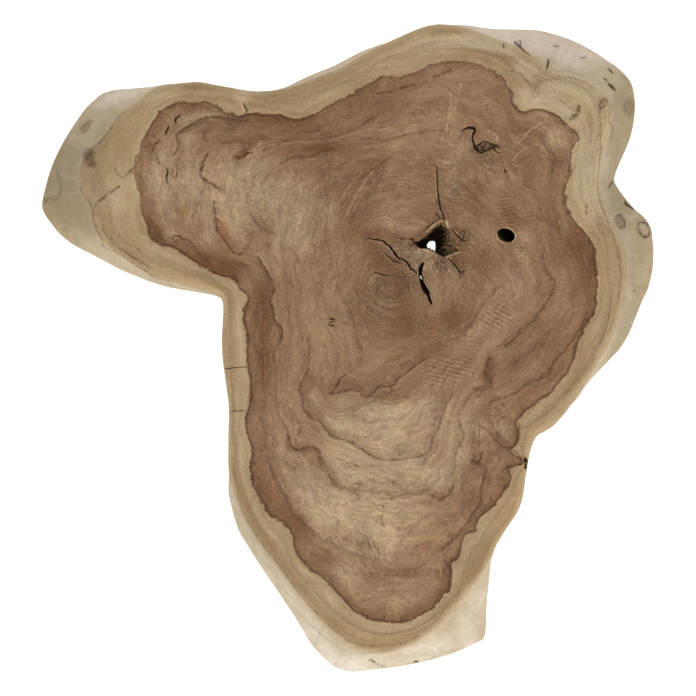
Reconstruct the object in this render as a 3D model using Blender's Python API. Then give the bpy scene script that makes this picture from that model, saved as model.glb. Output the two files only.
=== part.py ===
"""A thick slice sawn across the flared foot of a teak trunk: one solid piece of wood.

Plan coordinates below are millimetres on the sawn top face, x to the right and y down the plan.
The foot line is where the flared flank meets the ground as it is seen from VIEW_HEIGHT above the
top face, so its true place lies further from the axis of view by FOOT_SPREAD.
"""

import math

import bmesh
import bpy
from mathutils import Vector

THICKNESS = 0.090          # between the two sawn faces
VIEW_HEIGHT = 2.0          # height above the top face from which the foot line is read
FOOT_SPREAD = 1.0 + THICKNESS / VIEW_HEIGHT
AXIS = (348.0, 348.0)      # plan point under the viewpoint, mm
ORIGIN = (348.04, 348.34)  # plan point of the part's origin, the middle of its overall box, mm
ROLL = 0.011               # width of the hand-eased band inside the top arris
ROLL_DROP = 0.0045         # how far the band falls before the arris
FOOT_EASE = 0.004          # eased edge round the underside
AROUND = 220               # points round each section
FLANK_STEPS = 7            # sections down the flank
BORER_DEPTH = 0.072        # depth of the round insect gallery

# Round the rim, clockwise from the end of the left lobe: arris x, y then foot line x, y.
RIM = [
    (81, 188, 46, 188), (79, 177, 50.5, 172), (81, 166, 56, 158), (86, 156, 63, 144),
    (92, 149, 70, 132), (100, 142, 78, 120), (107, 134, 86, 109), (112, 124, 95, 100.3),
    (120, 115, 104, 93.5), (130, 106, 117, 90.2), (140, 98, 130, 89.2), (148, 91, 143, 88),
    (156, 87, 152, 87.3), (163, 85.3, 161, 86.2), (170, 83.8, 169.5, 85), (179, 82.8, 179, 84.6),
    (188, 82, 188.5, 84.5), (197, 81.3, 197.5, 84.5), (203.5, 82.3, 204.5, 85.5), (210, 83.6, 211, 87),
    (220, 85.2, 221, 88.5), (230, 87, 231, 90), (240, 89, 241, 92), (250, 90.4, 251, 93),
    (260, 91, 260.5, 93), (270, 90.3, 270, 91.5), (280, 89.2, 279.5, 89.5), (290.5, 87, 289.5, 86),
    (301, 83.3, 299.5, 81), (311.5, 79, 309.5, 76.3), (322.5, 74.8, 320.5, 71.7), (333.5, 70.3, 331.5, 67.5),
    (344.5, 65, 342.5, 62), (354.5, 59.5, 352.5, 56.5), (364.5, 53.5, 363, 51.3), (375, 47.5, 374, 47.8),
    (386, 42.4, 385.5, 44), (397, 37.5, 396.5, 40), (408, 32.5, 407.5, 35.5), (418, 28.4, 417.5, 31.5),
    (428, 25.2, 427, 28.5), (438, 24, 437, 26.5), (449.5, 24.5, 450, 25.5), (461, 26.4, 466, 26),
    (472.5, 29.5, 481, 28), (484, 33.5, 494, 29.6), (495.5, 37.8, 508, 29.9), (507, 42, 524, 30.3),
    (518.5, 46.5, 540, 31.4), (529.5, 52.5, 555.5, 35.4), (539.5, 59.5, 570, 40.1), (549, 66.5, 583.5, 46.5),
    (558.5, 72.5, 595.5, 53.4), (569, 76, 606, 60.6), (580, 79.5, 616.5, 67.7), (590.5, 83, 625.5, 76.2),
    (599.5, 89, 631.5, 85.5), (606, 97, 634, 98), (609.5, 107, 634.4, 109), (610.3, 118, 633.2, 122),
    (608.8, 130, 630.6, 135), (606, 142, 626.3, 147), (603, 154, 621, 159), (600.4, 165, 616.2, 170.3),
    (598.4, 175.5, 613.8, 180.5), (598, 186, 617.5, 188.5), (598.8, 196.5, 624.8, 198.5), (601.8, 207, 633.5, 208.8),
    (607, 217.5, 643.5, 217.5), (613.5, 228, 650, 227.5), (620, 239, 652, 240), (624.5, 251, 653, 252),
    (626.8, 263.5, 652.5, 264), (626.8, 276.5, 650.6, 277), (625.3, 289, 647, 290), (623, 301.5, 641.7, 301),
    (620, 314, 636, 315), (616.5, 326, 631.3, 327), (612, 337.5, 626, 338.3), (606.5, 349, 618.5, 349.8),
    (600.5, 360, 610, 358.7), (594.5, 370, 601.5, 368), (588.5, 379.5, 592.5, 377.3), (582.5, 389, 584, 388),
    (576.3, 398.5, 576.5, 399), (569.5, 408, 568, 407.5), (562, 417.5, 559, 416.5), (554, 426, 550, 424),
    (546, 431.3, 541, 429), (538.5, 435.3, 533, 434), (533.5, 443, 528, 442), (530.5, 451.5, 525, 451),
    (529, 459.5, 523, 459), (527.4, 469, 522, 469), (525.8, 479, 521, 479), (524.6, 490, 520, 490),
    (522, 502, 518, 503), (518, 512.5, 513.5, 513), (512, 521.5, 508, 523), (506, 530.4, 503, 532),
    (500.4, 539.5, 498, 541), (495, 548.5, 494, 551), (490.3, 558.5, 490.8, 562), (486.5, 566.5, 489.2, 577),
    (480.5, 576.5, 487.6, 593), (472.5, 586.5, 486.3, 608), (463.5, 597.5, 485.9, 623), (454, 609, 483.5, 637.5),
    (444.5, 619.5, 474, 643.3), (434, 629.5, 457, 651), (422, 638, 436, 658), (409, 645.5, 414, 663.2),
    (395, 651, 392, 667), (381, 653.8, 371, 669.3), (367, 652.3, 351, 671.2), (353.5, 647, 334, 666),
    (341, 639.5, 321, 654.5), (329, 630, 311, 643), (318, 619, 303, 630), (307.5, 606.5, 294.5, 615.7),
    (297, 593.5, 284.5, 600.8), (286.5, 579, 274, 585), (276, 565, 264, 570.5), (266, 552, 254.5, 556),
    (256.5, 538.5, 246.5, 543), (248, 525, 239.5, 531.5), (241.5, 512.5, 234.5, 517), (236.5, 501, 231, 504),
    (232.5, 490, 228.7, 491), (229.5, 478, 229, 478), (228.4, 462, 231, 463), (228.6, 445, 232.5, 445),
    (228.8, 425, 233, 425), (228.4, 405, 233, 405), (226.5, 390, 231, 391), (224, 372, 229, 373),
    (222.3, 358, 227.5, 359), (221.4, 340, 227, 341), (222.3, 324, 227.5, 325), (223, 308, 228, 309),
    (221.5, 299.5, 224, 301.5), (218, 295.3, 219.5, 297.5), (212, 292.5, 212, 295), (203, 290.5, 203, 293.3),
    (190, 287.5, 188.5, 290.8), (175, 283, 173, 288), (160, 278, 156, 283.6), (148, 273, 140, 277.8),
    (138, 267, 124, 271.3), (128, 260, 109.7, 264), (118, 253, 96, 256.5), (108, 246, 83, 250),
    (100, 237, 71.5, 243.4), (95, 227, 60, 234), (92, 217, 52, 224), (90, 207, 46, 215.5),
    (86, 198, 42.6, 205),
]

# The rotted-out pith hole: its edge in the top face, x, y, then at its narrow throat half-way down, x, y.
PITH_HOLE = [
    (411.0, 239.4, 427.0, 245.0), (416.0, 241.8, 427.3, 244.2), (418.5, 241.2, 427.8, 243.4), (421.0, 238.8, 428.6, 242.4),
    (425.1, 236.4, 429.4, 241.7), (427.6, 233.9, 430.2, 241.3), (430.1, 231.4, 431.0, 241.1), (433.4, 228.1, 431.8, 241.0),
    (437.5, 224.8, 432.6, 241.0), (440.8, 223.1, 433.4, 241.1), (444.1, 222.0, 434.2, 241.2), (446.6, 224.8, 434.8, 241.5),
    (448.3, 228.1, 435.1, 242.2), (450.4, 230.6, 435.2, 243.2), (449.9, 233.9, 435.3, 244.3), (452.4, 235.5, 435.4, 245.3),
    (454.9, 238.8, 435.4, 246.4), (454.0, 243.0, 435.3, 247.6), (455.7, 247.1, 435.2, 248.8), (458.0, 251.4, 435.1, 250.0),
    (454.5, 252.6, 434.9, 251.2), (449.1, 254.5, 434.2, 252.0), (444.5, 257.0, 433.2, 252.2), (440.0, 255.4, 432.2, 251.6),
    (436.5, 252.7, 431.4, 251.0), (431.7, 250.4, 430.4, 250.0), (427.5, 248.6, 429.4, 249.0), (422.6, 248.8, 428.2, 248.2),
    (418.5, 247.6, 427.4, 247.4), (415.6, 244.2, 427.0, 246.2),
]
# The long check: its edge in the top face. Lower down it closes to a small lens about CHECK_LENS.
CHECK_MOUTH = [
    (422.6, 261.6), (424.6, 263.4), (423.5, 266.1), (422.3, 270.2), (422.3, 274.4), (423.6, 277.7), (423.7, 281.0),
    (426.0, 286.0), (429.0, 290.0), (430.6, 297.5), (432.6, 303.8), (430.6, 305.0), (428.4, 300.8), (426.8, 295.9),
    (423.5, 292.6), (421.0, 287.6), (419.3, 281.0), (419.0, 276.0), (418.2, 272.7), (418.5, 267.8), (420.2, 264.5),
]
CHECK_LENS = (421.9, 278.0, 1.0, 3.2)  # middle x, y and half width, half length


def place(x, y, z=THICKNESS, spread=1.0):
    """A plan point as a position of the part, in metres."""
    px = AXIS[0] + (x - AXIS[0]) * spread
    py = AXIS[1] + (y - AXIS[1]) * spread
    return Vector(((px - ORIGIN[0]) / 1000, (ORIGIN[1] - py) / 1000, z))


def spline_loop(points, count):
    """Points at equal steps along the closed Catmull-Rom curve through some vectors of any size."""
    n, dense = len(points), []
    for i in range(n):
        a, b, c, d = (points[(i + k) % n] for k in (-1, 0, 1, 2))
        for j in range(12):
            t = j / 12
            dense.append([
                0.5 * (2 * q + (r - p) * t + (2 * p - 5 * q + 4 * r - s) * t * t + (3 * q - p - 3 * r + s) * t ** 3)
                for p, q, r, s in zip(a, b, c, d)
            ])
    along = [0.0]
    for p, q in zip(dense, dense[1:] + dense[:1]):
        along.append(along[-1] + math.dist(p, q))
    out, k = [], 0
    for i in range(count):
        want = along[-1] * i / count
        while along[k + 1] < want:
            k += 1
        f = (want - along[k]) / (along[k + 1] - along[k])
        out.append([p + (q - p) * f for p, q in zip(dense[k], dense[(k + 1) % len(dense)])])
    return out


def inset(loop, by):
    """The loop moved inwards in plan; it runs clockwise seen from above."""
    n, out = len(loop), []
    for i, p in enumerate(loop):
        along = loop[(i + 1) % n] - loop[i - 1]
        out.append(p + Vector((along.y, -along.x, 0)).normalized() * by)
    return out


def ring_stack(bm, rings):
    """Bridges closed rings of equal size and caps both ends."""
    made = [[bm.verts.new(p) for p in ring] for ring in rings]
    for upper, lower in zip(made, made[1:]):
        n = len(upper)
        for i in range(n):
            j = (i + 1) % n
            bm.faces.new((upper[i], upper[j], lower[j], lower[i]))
    bm.faces.new(list(reversed(made[0])))
    bm.faces.new(made[-1])


def mesh_object(name, rings):
    mesh = bpy.data.meshes.new(name)
    bm = bmesh.new()
    ring_stack(bm, rings)
    bmesh.ops.recalc_face_normals(bm, faces=bm.faces)
    bm.to_mesh(mesh)
    bm.free()
    obj = bpy.data.objects.new(name, mesh)
    bpy.context.scene.collection.objects.link(obj)
    return obj


def teak_slice():
    rim = spline_loop(RIM, AROUND)
    arris = [place(p[0], p[1], THICKNESS - ROLL_DROP) for p in rim]
    foot = [place(p[2], p[3], 0.0, FOOT_SPREAD) for p in rim]
    rings = []
    # the eased band: a quarter wave from the flat face down to the arris
    for k in range(4):
        a = k / 4
        ring = inset(arris, ROLL * (1 - a))
        drop = ROLL_DROP * (1 - math.cos(a * math.pi / 2)) * 0.9
        rings.append([Vector((p.x, p.y, THICKNESS - drop)) for p in ring])
    # the flank, a little hollow as a root flare is
    for k in range(FLANK_STEPS):
        t = k / (FLANK_STEPS - 1)
        z = (THICKNESS - ROLL_DROP) * (1 - t) + FOOT_EASE * t
        lean = t ** 1.12
        rings.append([Vector((p.x + (q.x - p.x) * lean, p.y + (q.y - p.y) * lean, z)) for p, q in zip(arris, foot)])
    rings.append([Vector((p.x, p.y, 0.0)) for p in inset(rings[-1], FOOT_EASE * 0.8)])
    return mesh_object("teak_slice", rings)


def tapered_cutter(name, mouth, levels):
    """A wandering hole: the mouth outline drawn in about a moving centre, level by level.
    levels holds (z, scale, centre x, centre y, spread) from the top down."""
    cx = sum(p[0] for p in mouth) / len(mouth)
    cy = sum(p[1] for p in mouth) / len(mouth)
    rings = []
    for z, scale, to_x, to_y, spread in levels:
        rings.append([place(to_x + (x - cx) * scale, to_y + (y - cy) * scale, z, spread) for x, y in mouth])
    return as_cutter(mesh_object(name, rings))


def shaped_cutter(name, rows, levels):
    """A hole whose outline changes from its mouth to its throat.
    levels holds (z, share of the throat's outline, flare about the throat's middle, spread) from the top down."""
    tx = sum(r[2] for r in rows) / len(rows)
    ty = sum(r[3] for r in rows) / len(rows)
    rings = []
    for z, share, flare, spread in levels:
        ring = []
        for mx, my, nx, ny in rows:
            x, y = mx + (nx - mx) * share, my + (ny - my) * share
            ring.append(place(tx + (x - tx) * flare, ty + (y - ty) * flare, z, spread))
        rings.append(ring)
    return as_cutter(mesh_object(name, rings))


def check_rows():
    """The long check's mouth paired with the lens it closes to."""
    cx, cy, half_width, half_length = CHECK_LENS
    rows = []
    for i, (x, y) in enumerate(CHECK_MOUTH):
        a = 2 * math.pi * i / len(CHECK_MOUTH)
        rows.append((x, y, cx + half_width * math.sin(a), cy - half_length * math.cos(a)))
    return rows


def as_cutter(obj):
    obj.hide_render = True
    obj.display_type = "WIRE"
    return obj


def ellipse(cx, cy, rx, ry, turn, count=18):
    c, s = math.cos(turn), math.sin(turn)
    out = []
    for i in range(count):
        a = 2 * math.pi * i / count
        x, y = rx * math.cos(a), ry * math.sin(a)
        out.append((cx + x * c - y * s, cy + x * s + y * c))
    return out


def cut(obj, cutter):
    m = obj.modifiers.new(cutter.name, "BOOLEAN")
    m.operation = "DIFFERENCE"
    m.solver = "EXACT"
    m.object = cutter


def wood_material():
    mat = bpy.data.materials.new("teak")
    mat.use_nodes = True
    bsdf = mat.node_tree.nodes["Principled BSDF"]
    bsdf.inputs["Base Color"].default_value = (0.34, 0.21, 0.13, 1.0)
    bsdf.inputs["Roughness"].default_value = 0.62
    bsdf.inputs["Metallic"].default_value = 0.0
    return mat


def main():
    for obj in list(bpy.data.objects):
        bpy.data.objects.remove(obj)
    H = THICKNESS
    body = teak_slice()
    # the pith hole narrows to a throat half-way down and widens again below
    cut(body, shaped_cutter("pith_hole_cutter", PITH_HOLE, [
        (H + 0.004, 0.00, 1.00, 1.000),
        (H - 0.006, 0.03, 1.00, 1.003),
        (H - 0.024, 0.30, 1.00, 1.012),
        (H - 0.048, 0.97, 1.00, 1.024),
        (0.036, 1.00, 1.00, 1.027),
        (0.020, 1.00, 1.35, 1.035),
        (-0.004, 1.00, 1.90, 1.047),
    ]))
    # the long check runs right through, closing up towards the underside
    cut(body, shaped_cutter("long_check_cutter", check_rows(), [
        (H + 0.004, 0.00, 1.00, 1.000),
        (H - 0.030, 0.40, 1.00, 1.015),
        (0.030, 1.00, 1.00, 1.030),
        (-0.004, 1.00, 1.25, 1.047),
    ]))
    # a blind gallery left by a wood borer, drifting sideways as it goes down
    gallery = ellipse(506.0, 235.3, 9.3, 6.9, math.radians(18))
    cut(body, tapered_cutter("borer_cutter", gallery, [
        (H + 0.004, 1.00, 506.0, 235.3, 1.0),
        (H - 0.030, 0.97, 509.0, 233.0, 1.0),
        (H - BORER_DEPTH, 0.80, 517.0, 228.0, 1.0),
    ]))
    body.data.materials.append(wood_material())
    body.data.shade_smooth()
    body.data.set_sharp_from_angle(angle=math.radians(35))


main()
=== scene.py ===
import math

import bmesh
import bpy
import numpy as np
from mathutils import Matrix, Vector
from mathutils.geometry import delaunay_2d_cdt


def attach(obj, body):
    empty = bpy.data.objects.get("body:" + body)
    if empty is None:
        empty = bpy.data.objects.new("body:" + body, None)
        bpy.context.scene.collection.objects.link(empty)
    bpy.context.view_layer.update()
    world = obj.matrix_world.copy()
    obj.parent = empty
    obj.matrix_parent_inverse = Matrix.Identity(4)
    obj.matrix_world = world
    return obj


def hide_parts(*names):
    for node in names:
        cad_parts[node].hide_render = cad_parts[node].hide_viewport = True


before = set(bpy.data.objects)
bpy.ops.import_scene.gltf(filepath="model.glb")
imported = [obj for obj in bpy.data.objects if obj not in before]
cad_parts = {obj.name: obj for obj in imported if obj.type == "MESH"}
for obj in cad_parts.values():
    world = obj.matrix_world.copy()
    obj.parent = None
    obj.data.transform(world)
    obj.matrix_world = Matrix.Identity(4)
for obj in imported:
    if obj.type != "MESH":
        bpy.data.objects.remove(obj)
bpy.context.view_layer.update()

# ---------------------------------------------------------------------------------------------
# Plan coordinates are millimetres on the sawn top face, x to the right and y down the plan.
# Marks are placed where they show from the viewpoint, straight above AXIS.
# ---------------------------------------------------------------------------------------------
THICKNESS = 90.0
VIEW_HEIGHT = 2000.0
AXIS = np.array([348.0, 348.0])
ORIGIN = np.array([348.04, 348.34])
ROLL = 11.0
ROLL_DROP = 4.5
FOOT_EASE = 4.0
AROUND = 930
FLANK_ROWS = 30
LATTICE = 2.35

# Round the rim, clockwise from the end of the left lobe: arris x, y then foot line x, y.
RIM = [
    (81, 188, 46, 188), (79, 177, 50.5, 172), (81, 166, 56, 158), (86, 156, 63, 144),
    (92, 149, 70, 132), (100, 142, 78, 120), (107, 134, 86, 109), (112, 124, 95, 100.3),
    (120, 115, 104, 93.5), (130, 106, 117, 90.2), (140, 98, 130, 89.2), (148, 91, 143, 88),
    (156, 87, 152, 87.3), (163, 85.3, 161, 86.2), (170, 83.8, 169.5, 85), (179, 82.8, 179, 84.6),
    (188, 82, 188.5, 84.5), (197, 81.3, 197.5, 84.5), (203.5, 82.3, 204.5, 85.5), (210, 83.6, 211, 87),
    (220, 85.2, 221, 88.5), (230, 87, 231, 90), (240, 89, 241, 92), (250, 90.4, 251, 93),
    (260, 91, 260.5, 93), (270, 90.3, 270, 91.5), (280, 89.2, 279.5, 89.5), (290.5, 87, 289.5, 86),
    (301, 83.3, 299.5, 81), (311.5, 79, 309.5, 76.3), (322.5, 74.8, 320.5, 71.7), (333.5, 70.3, 331.5, 67.5),
    (344.5, 65, 342.5, 62), (354.5, 59.5, 352.5, 56.5), (364.5, 53.5, 363, 51.3), (375, 47.5, 374, 47.8),
    (386, 42.4, 385.5, 44), (397, 37.5, 396.5, 40), (408, 32.5, 407.5, 35.5), (418, 28.4, 417.5, 31.5),
    (428, 25.2, 427, 28.5), (438, 24, 437, 26.5), (449.5, 24.5, 450, 25.5), (461, 26.4, 466, 26),
    (472.5, 29.5, 481, 28), (484, 33.5, 494, 29.6), (495.5, 37.8, 508, 29.9), (507, 42, 524, 30.3),
    (518.5, 46.5, 540, 31.4), (529.5, 52.5, 555.5, 35.4), (539.5, 59.5, 570, 40.1), (549, 66.5, 583.5, 46.5),
    (558.5, 72.5, 595.5, 53.4), (569, 76, 606, 60.6), (580, 79.5, 616.5, 67.7), (590.5, 83, 625.5, 76.2),
    (599.5, 89, 631.5, 85.5), (606, 97, 634, 98), (609.5, 107, 634.4, 109), (610.3, 118, 633.2, 122),
    (608.8, 130, 630.6, 135), (606, 142, 626.3, 147), (603, 154, 621, 159), (600.4, 165, 616.2, 170.3),
    (598.4, 175.5, 613.8, 180.5), (598, 186, 617.5, 188.5), (598.8, 196.5, 624.8, 198.5), (601.8, 207, 633.5, 208.8),
    (607, 217.5, 643.5, 217.5), (613.5, 228, 650, 227.5), (620, 239, 652, 240), (624.5, 251, 653, 252),
    (626.8, 263.5, 652.5, 264), (626.8, 276.5, 650.6, 277), (625.3, 289, 647, 290), (623, 301.5, 641.7, 301),
    (620, 314, 636, 315), (616.5, 326, 631.3, 327), (612, 337.5, 626, 338.3), (606.5, 349, 618.5, 349.8),
    (600.5, 360, 610, 358.7), (594.5, 370, 601.5, 368), (588.5, 379.5, 592.5, 377.3), (582.5, 389, 584, 388),
    (576.3, 398.5, 576.5, 399), (569.5, 408, 568, 407.5), (562, 417.5, 559, 416.5), (554, 426, 550, 424),
    (546, 431.3, 541, 429), (538.5, 435.3, 533, 434), (533.5, 443, 528, 442), (530.5, 451.5, 525, 451),
    (529, 459.5, 523, 459), (527.4, 469, 522, 469), (525.8, 479, 521, 479), (524.6, 490, 520, 490),
    (522, 502, 518, 503), (518, 512.5, 513.5, 513), (512, 521.5, 508, 523), (506, 530.4, 503, 532),
    (500.4, 539.5, 498, 541), (495, 548.5, 494, 551), (490.3, 558.5, 490.8, 562), (486.5, 566.5, 489.2, 577),
    (480.5, 576.5, 487.6, 593), (472.5, 586.5, 486.3, 608), (463.5, 597.5, 485.9, 623), (454, 609, 483.5, 637.5),
    (444.5, 619.5, 474, 643.3), (434, 629.5, 457, 651), (422, 638, 436, 658), (409, 645.5, 414, 663.2),
    (395, 651, 392, 667), (381, 653.8, 371, 669.3), (367, 652.3, 351, 671.2), (353.5, 647, 334, 666),
    (341, 639.5, 321, 654.5), (329, 630, 311, 643), (318, 619, 303, 630), (307.5, 606.5, 294.5, 615.7),
    (297, 593.5, 284.5, 600.8), (286.5, 579, 274, 585), (276, 565, 264, 570.5), (266, 552, 254.5, 556),
    (256.5, 538.5, 246.5, 543), (248, 525, 239.5, 531.5), (241.5, 512.5, 234.5, 517), (236.5, 501, 231, 504),
    (232.5, 490, 228.7, 491), (229.5, 478, 229, 478), (228.4, 462, 231, 463), (228.6, 445, 232.5, 445),
    (228.8, 425, 233, 425), (228.4, 405, 233, 405), (226.5, 390, 231, 391), (224, 372, 229, 373),
    (222.3, 358, 227.5, 359), (221.4, 340, 227, 341), (222.3, 324, 227.5, 325), (223, 308, 228, 309),
    (221.5, 299.5, 224, 301.5), (218, 295.3, 219.5, 297.5), (212, 292.5, 212, 295), (203, 290.5, 203, 293.3),
    (190, 287.5, 188.5, 290.8), (175, 283, 173, 288), (160, 278, 156, 283.6), (148, 273, 140, 277.8),
    (138, 267, 124, 271.3), (128, 260, 109.7, 264), (118, 253, 96, 256.5), (108, 246, 83, 250),
    (100, 237, 71.5, 243.4), (95, 227, 60, 234), (92, 217, 52, 224), (90, 207, 46, 215.5),
    (86, 198, 42.6, 205),
]

# The edge of the heartwood, clockwise from the top of the left lobe.
HEART = [
    (174, 103), (182, 101), (190, 103), (200, 102), (206, 102), (217, 106), (226, 112), (230, 112.4), (238, 115.6),
    (250, 113), (260, 114), (270, 114.8), (280, 114.3), (290, 118), (300, 118.8), (310, 115.6), (320, 110.8),
    (330, 103.6), (340, 99.6), (350, 94.8), (360, 88.4), (372, 82), (382, 76.4), (400, 76.4), (410, 74), (420, 70),
    (430, 64.4), (446, 61.2), (460, 61.2), (470, 62), (480, 64.4), (490, 69.2), (499, 73.2), (505, 80.4), (510, 90),
    (514, 95), (512.4, 101), (516.4, 107.6), (523, 112), (532, 109.2), (540, 109), (550, 111.6), (560, 117),
    (566, 123.6), (574, 130), (580, 139), (575.6, 143.6), (571.6, 151), (570.8, 159), (570.5, 170), (569, 179.6),
    (565, 191), (566, 202), (571, 215), (576, 223), (583, 230), (591.6, 242), (595.6, 251), (595.3, 260), (597, 271),
    (598, 284), (597, 297), (595.6, 309.6), (590, 319), (584.4, 330), (579, 340), (576.7, 348), (574, 360),
    (569, 369.6), (564.4, 377), (556.4, 386.4), (550, 394.4), (540.4, 400), (534, 405.6), (526, 410.4), (521, 417),
    (516.4, 422.4), (518.5, 433), (517, 444), (510.8, 451), (519, 457), (523.5, 460.5), (523.5, 464.5), (519, 465.5),
    (511, 467), (509, 470.4), (510.8, 478), (509, 484), (504, 490), (502, 496), (496, 503), (490, 510), (480, 518),
    (476, 526), (477, 531), (467.6, 533.6), (464, 538), (462, 544), (461, 550), (458, 557), (453, 561.6), (451, 566),
    (452.4, 574), (451, 581), (450, 589.6), (445, 593.6), (439, 601.6), (430, 610.5), (424, 613), (416, 618),
    (410, 621), (400, 621.5), (390, 622.5), (380, 621), (370, 619.6), (361.6, 615.6), (353.6, 611.6), (350, 607),
    (344, 600.4), (336, 592.4), (330, 585), (320, 576.4), (310, 570), (304, 563.6), (297.6, 555.6), (293.6, 546),
    (293, 538), (289.6, 530), (280, 520.4), (269, 515.6), (265, 509), (261.6, 500), (255, 490), (251, 480),
    (250.4, 460), (252.5, 451), (249.6, 443), (246.4, 432), (245.3, 421), (247, 411), (250, 400), (250, 379),
    (247.5, 368), (246.7, 352), (246.7, 336), (244, 325), (243, 317), (246.7, 302), (246.4, 295), (239, 288),
    (236, 281), (230, 278.4), (220, 275.5), (210, 270.8), (197.4, 263.3), (188, 257.7), (178, 250.5), (166, 245.7),
    (161, 246), (155, 242), (148.4, 235.6), (147.6, 227.6), (143.6, 218), (140.4, 210), (140.4, 200), (138.8, 192),
    (136.4, 184), (134, 176), (130, 171), (133, 166), (135, 159), (139.6, 151), (140.4, 144), (145, 136), (149, 128),
    (152.4, 122), (157, 115.6), (160, 110), (170, 106),
]

# Growth-ring guides: how far out from the pith (0) towards the heartwood edge (1), and where.
GUIDES = [
    (0.95, [(174, 155), (178, 145), (176, 136), (180, 131.6), (190, 126), (198, 120), (209, 117.5), (220, 116.7), (230, 118.8), (238, 120.4), (247, 121)]),
    (0.82, [(217.5, 137.7), (225, 144), (236, 141.4), (249, 145), (263.8, 139.5), (276, 145), (283.6, 141), (304, 140), (322.5, 138.4), (341, 134.7), (359.5, 127.3), (376, 115.3), (400, 108), (426, 101.4), (442.7, 97.7)]),
    (0.76, [(280, 164), (293, 157.8), (311.4, 156.9), (322.5, 151.3), (335.4, 148.5), (359.5, 140), (389, 140.2), (405.7, 134.7), (433.4, 131), (450, 128)]),
    (0.95, [(378, 94), (391, 91.2), (407.5, 86.6), (415, 84.7), (433.4, 77.3), (442.7, 73.6), (452, 70)]),
    (0.84, [(208.3, 152.5), (202.8, 165.4), (200.9, 174.7), (206.5, 181), (215.7, 186), (217.5, 213.5), (217.5, 230), (225, 245), (234, 254), (250, 256), (265.6, 270), (272, 281.6), (274, 289.6), (270.4, 301), (273.6, 310), (274.4, 320), (279, 328), (280, 339), (276.8, 345.6), (274, 358), (275, 373), (277, 392), (278.4, 413), (283, 422), (288, 432), (291, 446), (299, 449.6), (309, 446.4), (318.4, 449.6), (320, 460), (325, 470), (333, 482), (350, 490), (370, 493), (400, 496.5), (430, 496), (448.4, 494.4), (453, 480), (455, 464), (460, 445), (459, 420), (465, 403), (474, 391)]),
    (0.66, [(309, 339), (309.6, 352), (309, 368), (302.4, 381), (299, 389), (302.4, 400), (304, 409.6), (312, 419), (319, 421), (328, 432), (334.4, 437.6), (350, 441.6), (360, 448), (371, 456), (384, 460), (405, 459), (421, 456), (430, 449), (432, 440), (437, 432), (441, 420), (446, 405), (452, 395), (455, 382)]),
    (0.40, [(337.6, 293), (350.4, 315), (357, 330), (357, 342), (362.4, 354), (361, 363)]),
    (0.52, [(329.6, 394.4), (350.4, 390), (362.4, 394), (379, 387), (392, 385.6), (405, 374), (421, 361.6), (430, 357), (451.7, 346), (458.5, 339), (475.8, 316.8), (486, 299.6), (496.4, 289), (503, 285)]),
    (0.74, [(537.8, 204.6), (541, 230), (542.8, 255), (544.4, 268), (550, 278), (551, 293.6), (547, 301.6), (535.6, 317.6), (520, 330), (510, 341.6), (503.6, 348), (488, 352)]),
    (0.93, [(588, 313), (580, 329), (569, 345), (558, 357.6), (551.6, 367), (540.4, 379), (529, 383), (519.6, 391), (508.4, 396), (491, 401.6)]),
    (0.93, [(486, 467), (483.6, 478), (481, 489.6), (480.4, 504), (472.4, 513.6), (465, 526), (455, 537.6), (446, 549), (436, 566), (416, 577), (395, 577), (373, 576), (356, 560), (340, 548), (318, 541), (298, 522), (285, 500), (277, 480), (268, 452)]),
    (0.88, [(541, 134), (546.4, 147.8), (551.5, 161.5), (552.4, 175), (549, 195), (552, 225), (566, 245), (575, 270), (574, 295)]),
    (0.87, [(470, 84), (488, 92), (498, 108), (512, 126), (528, 131), (541, 134)]),
]
SWIRL = [(391, 284.5, 4, 3, .04), (391, 285, 11, 8, .12), (391, 286, 22, 17, .20)]

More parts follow.
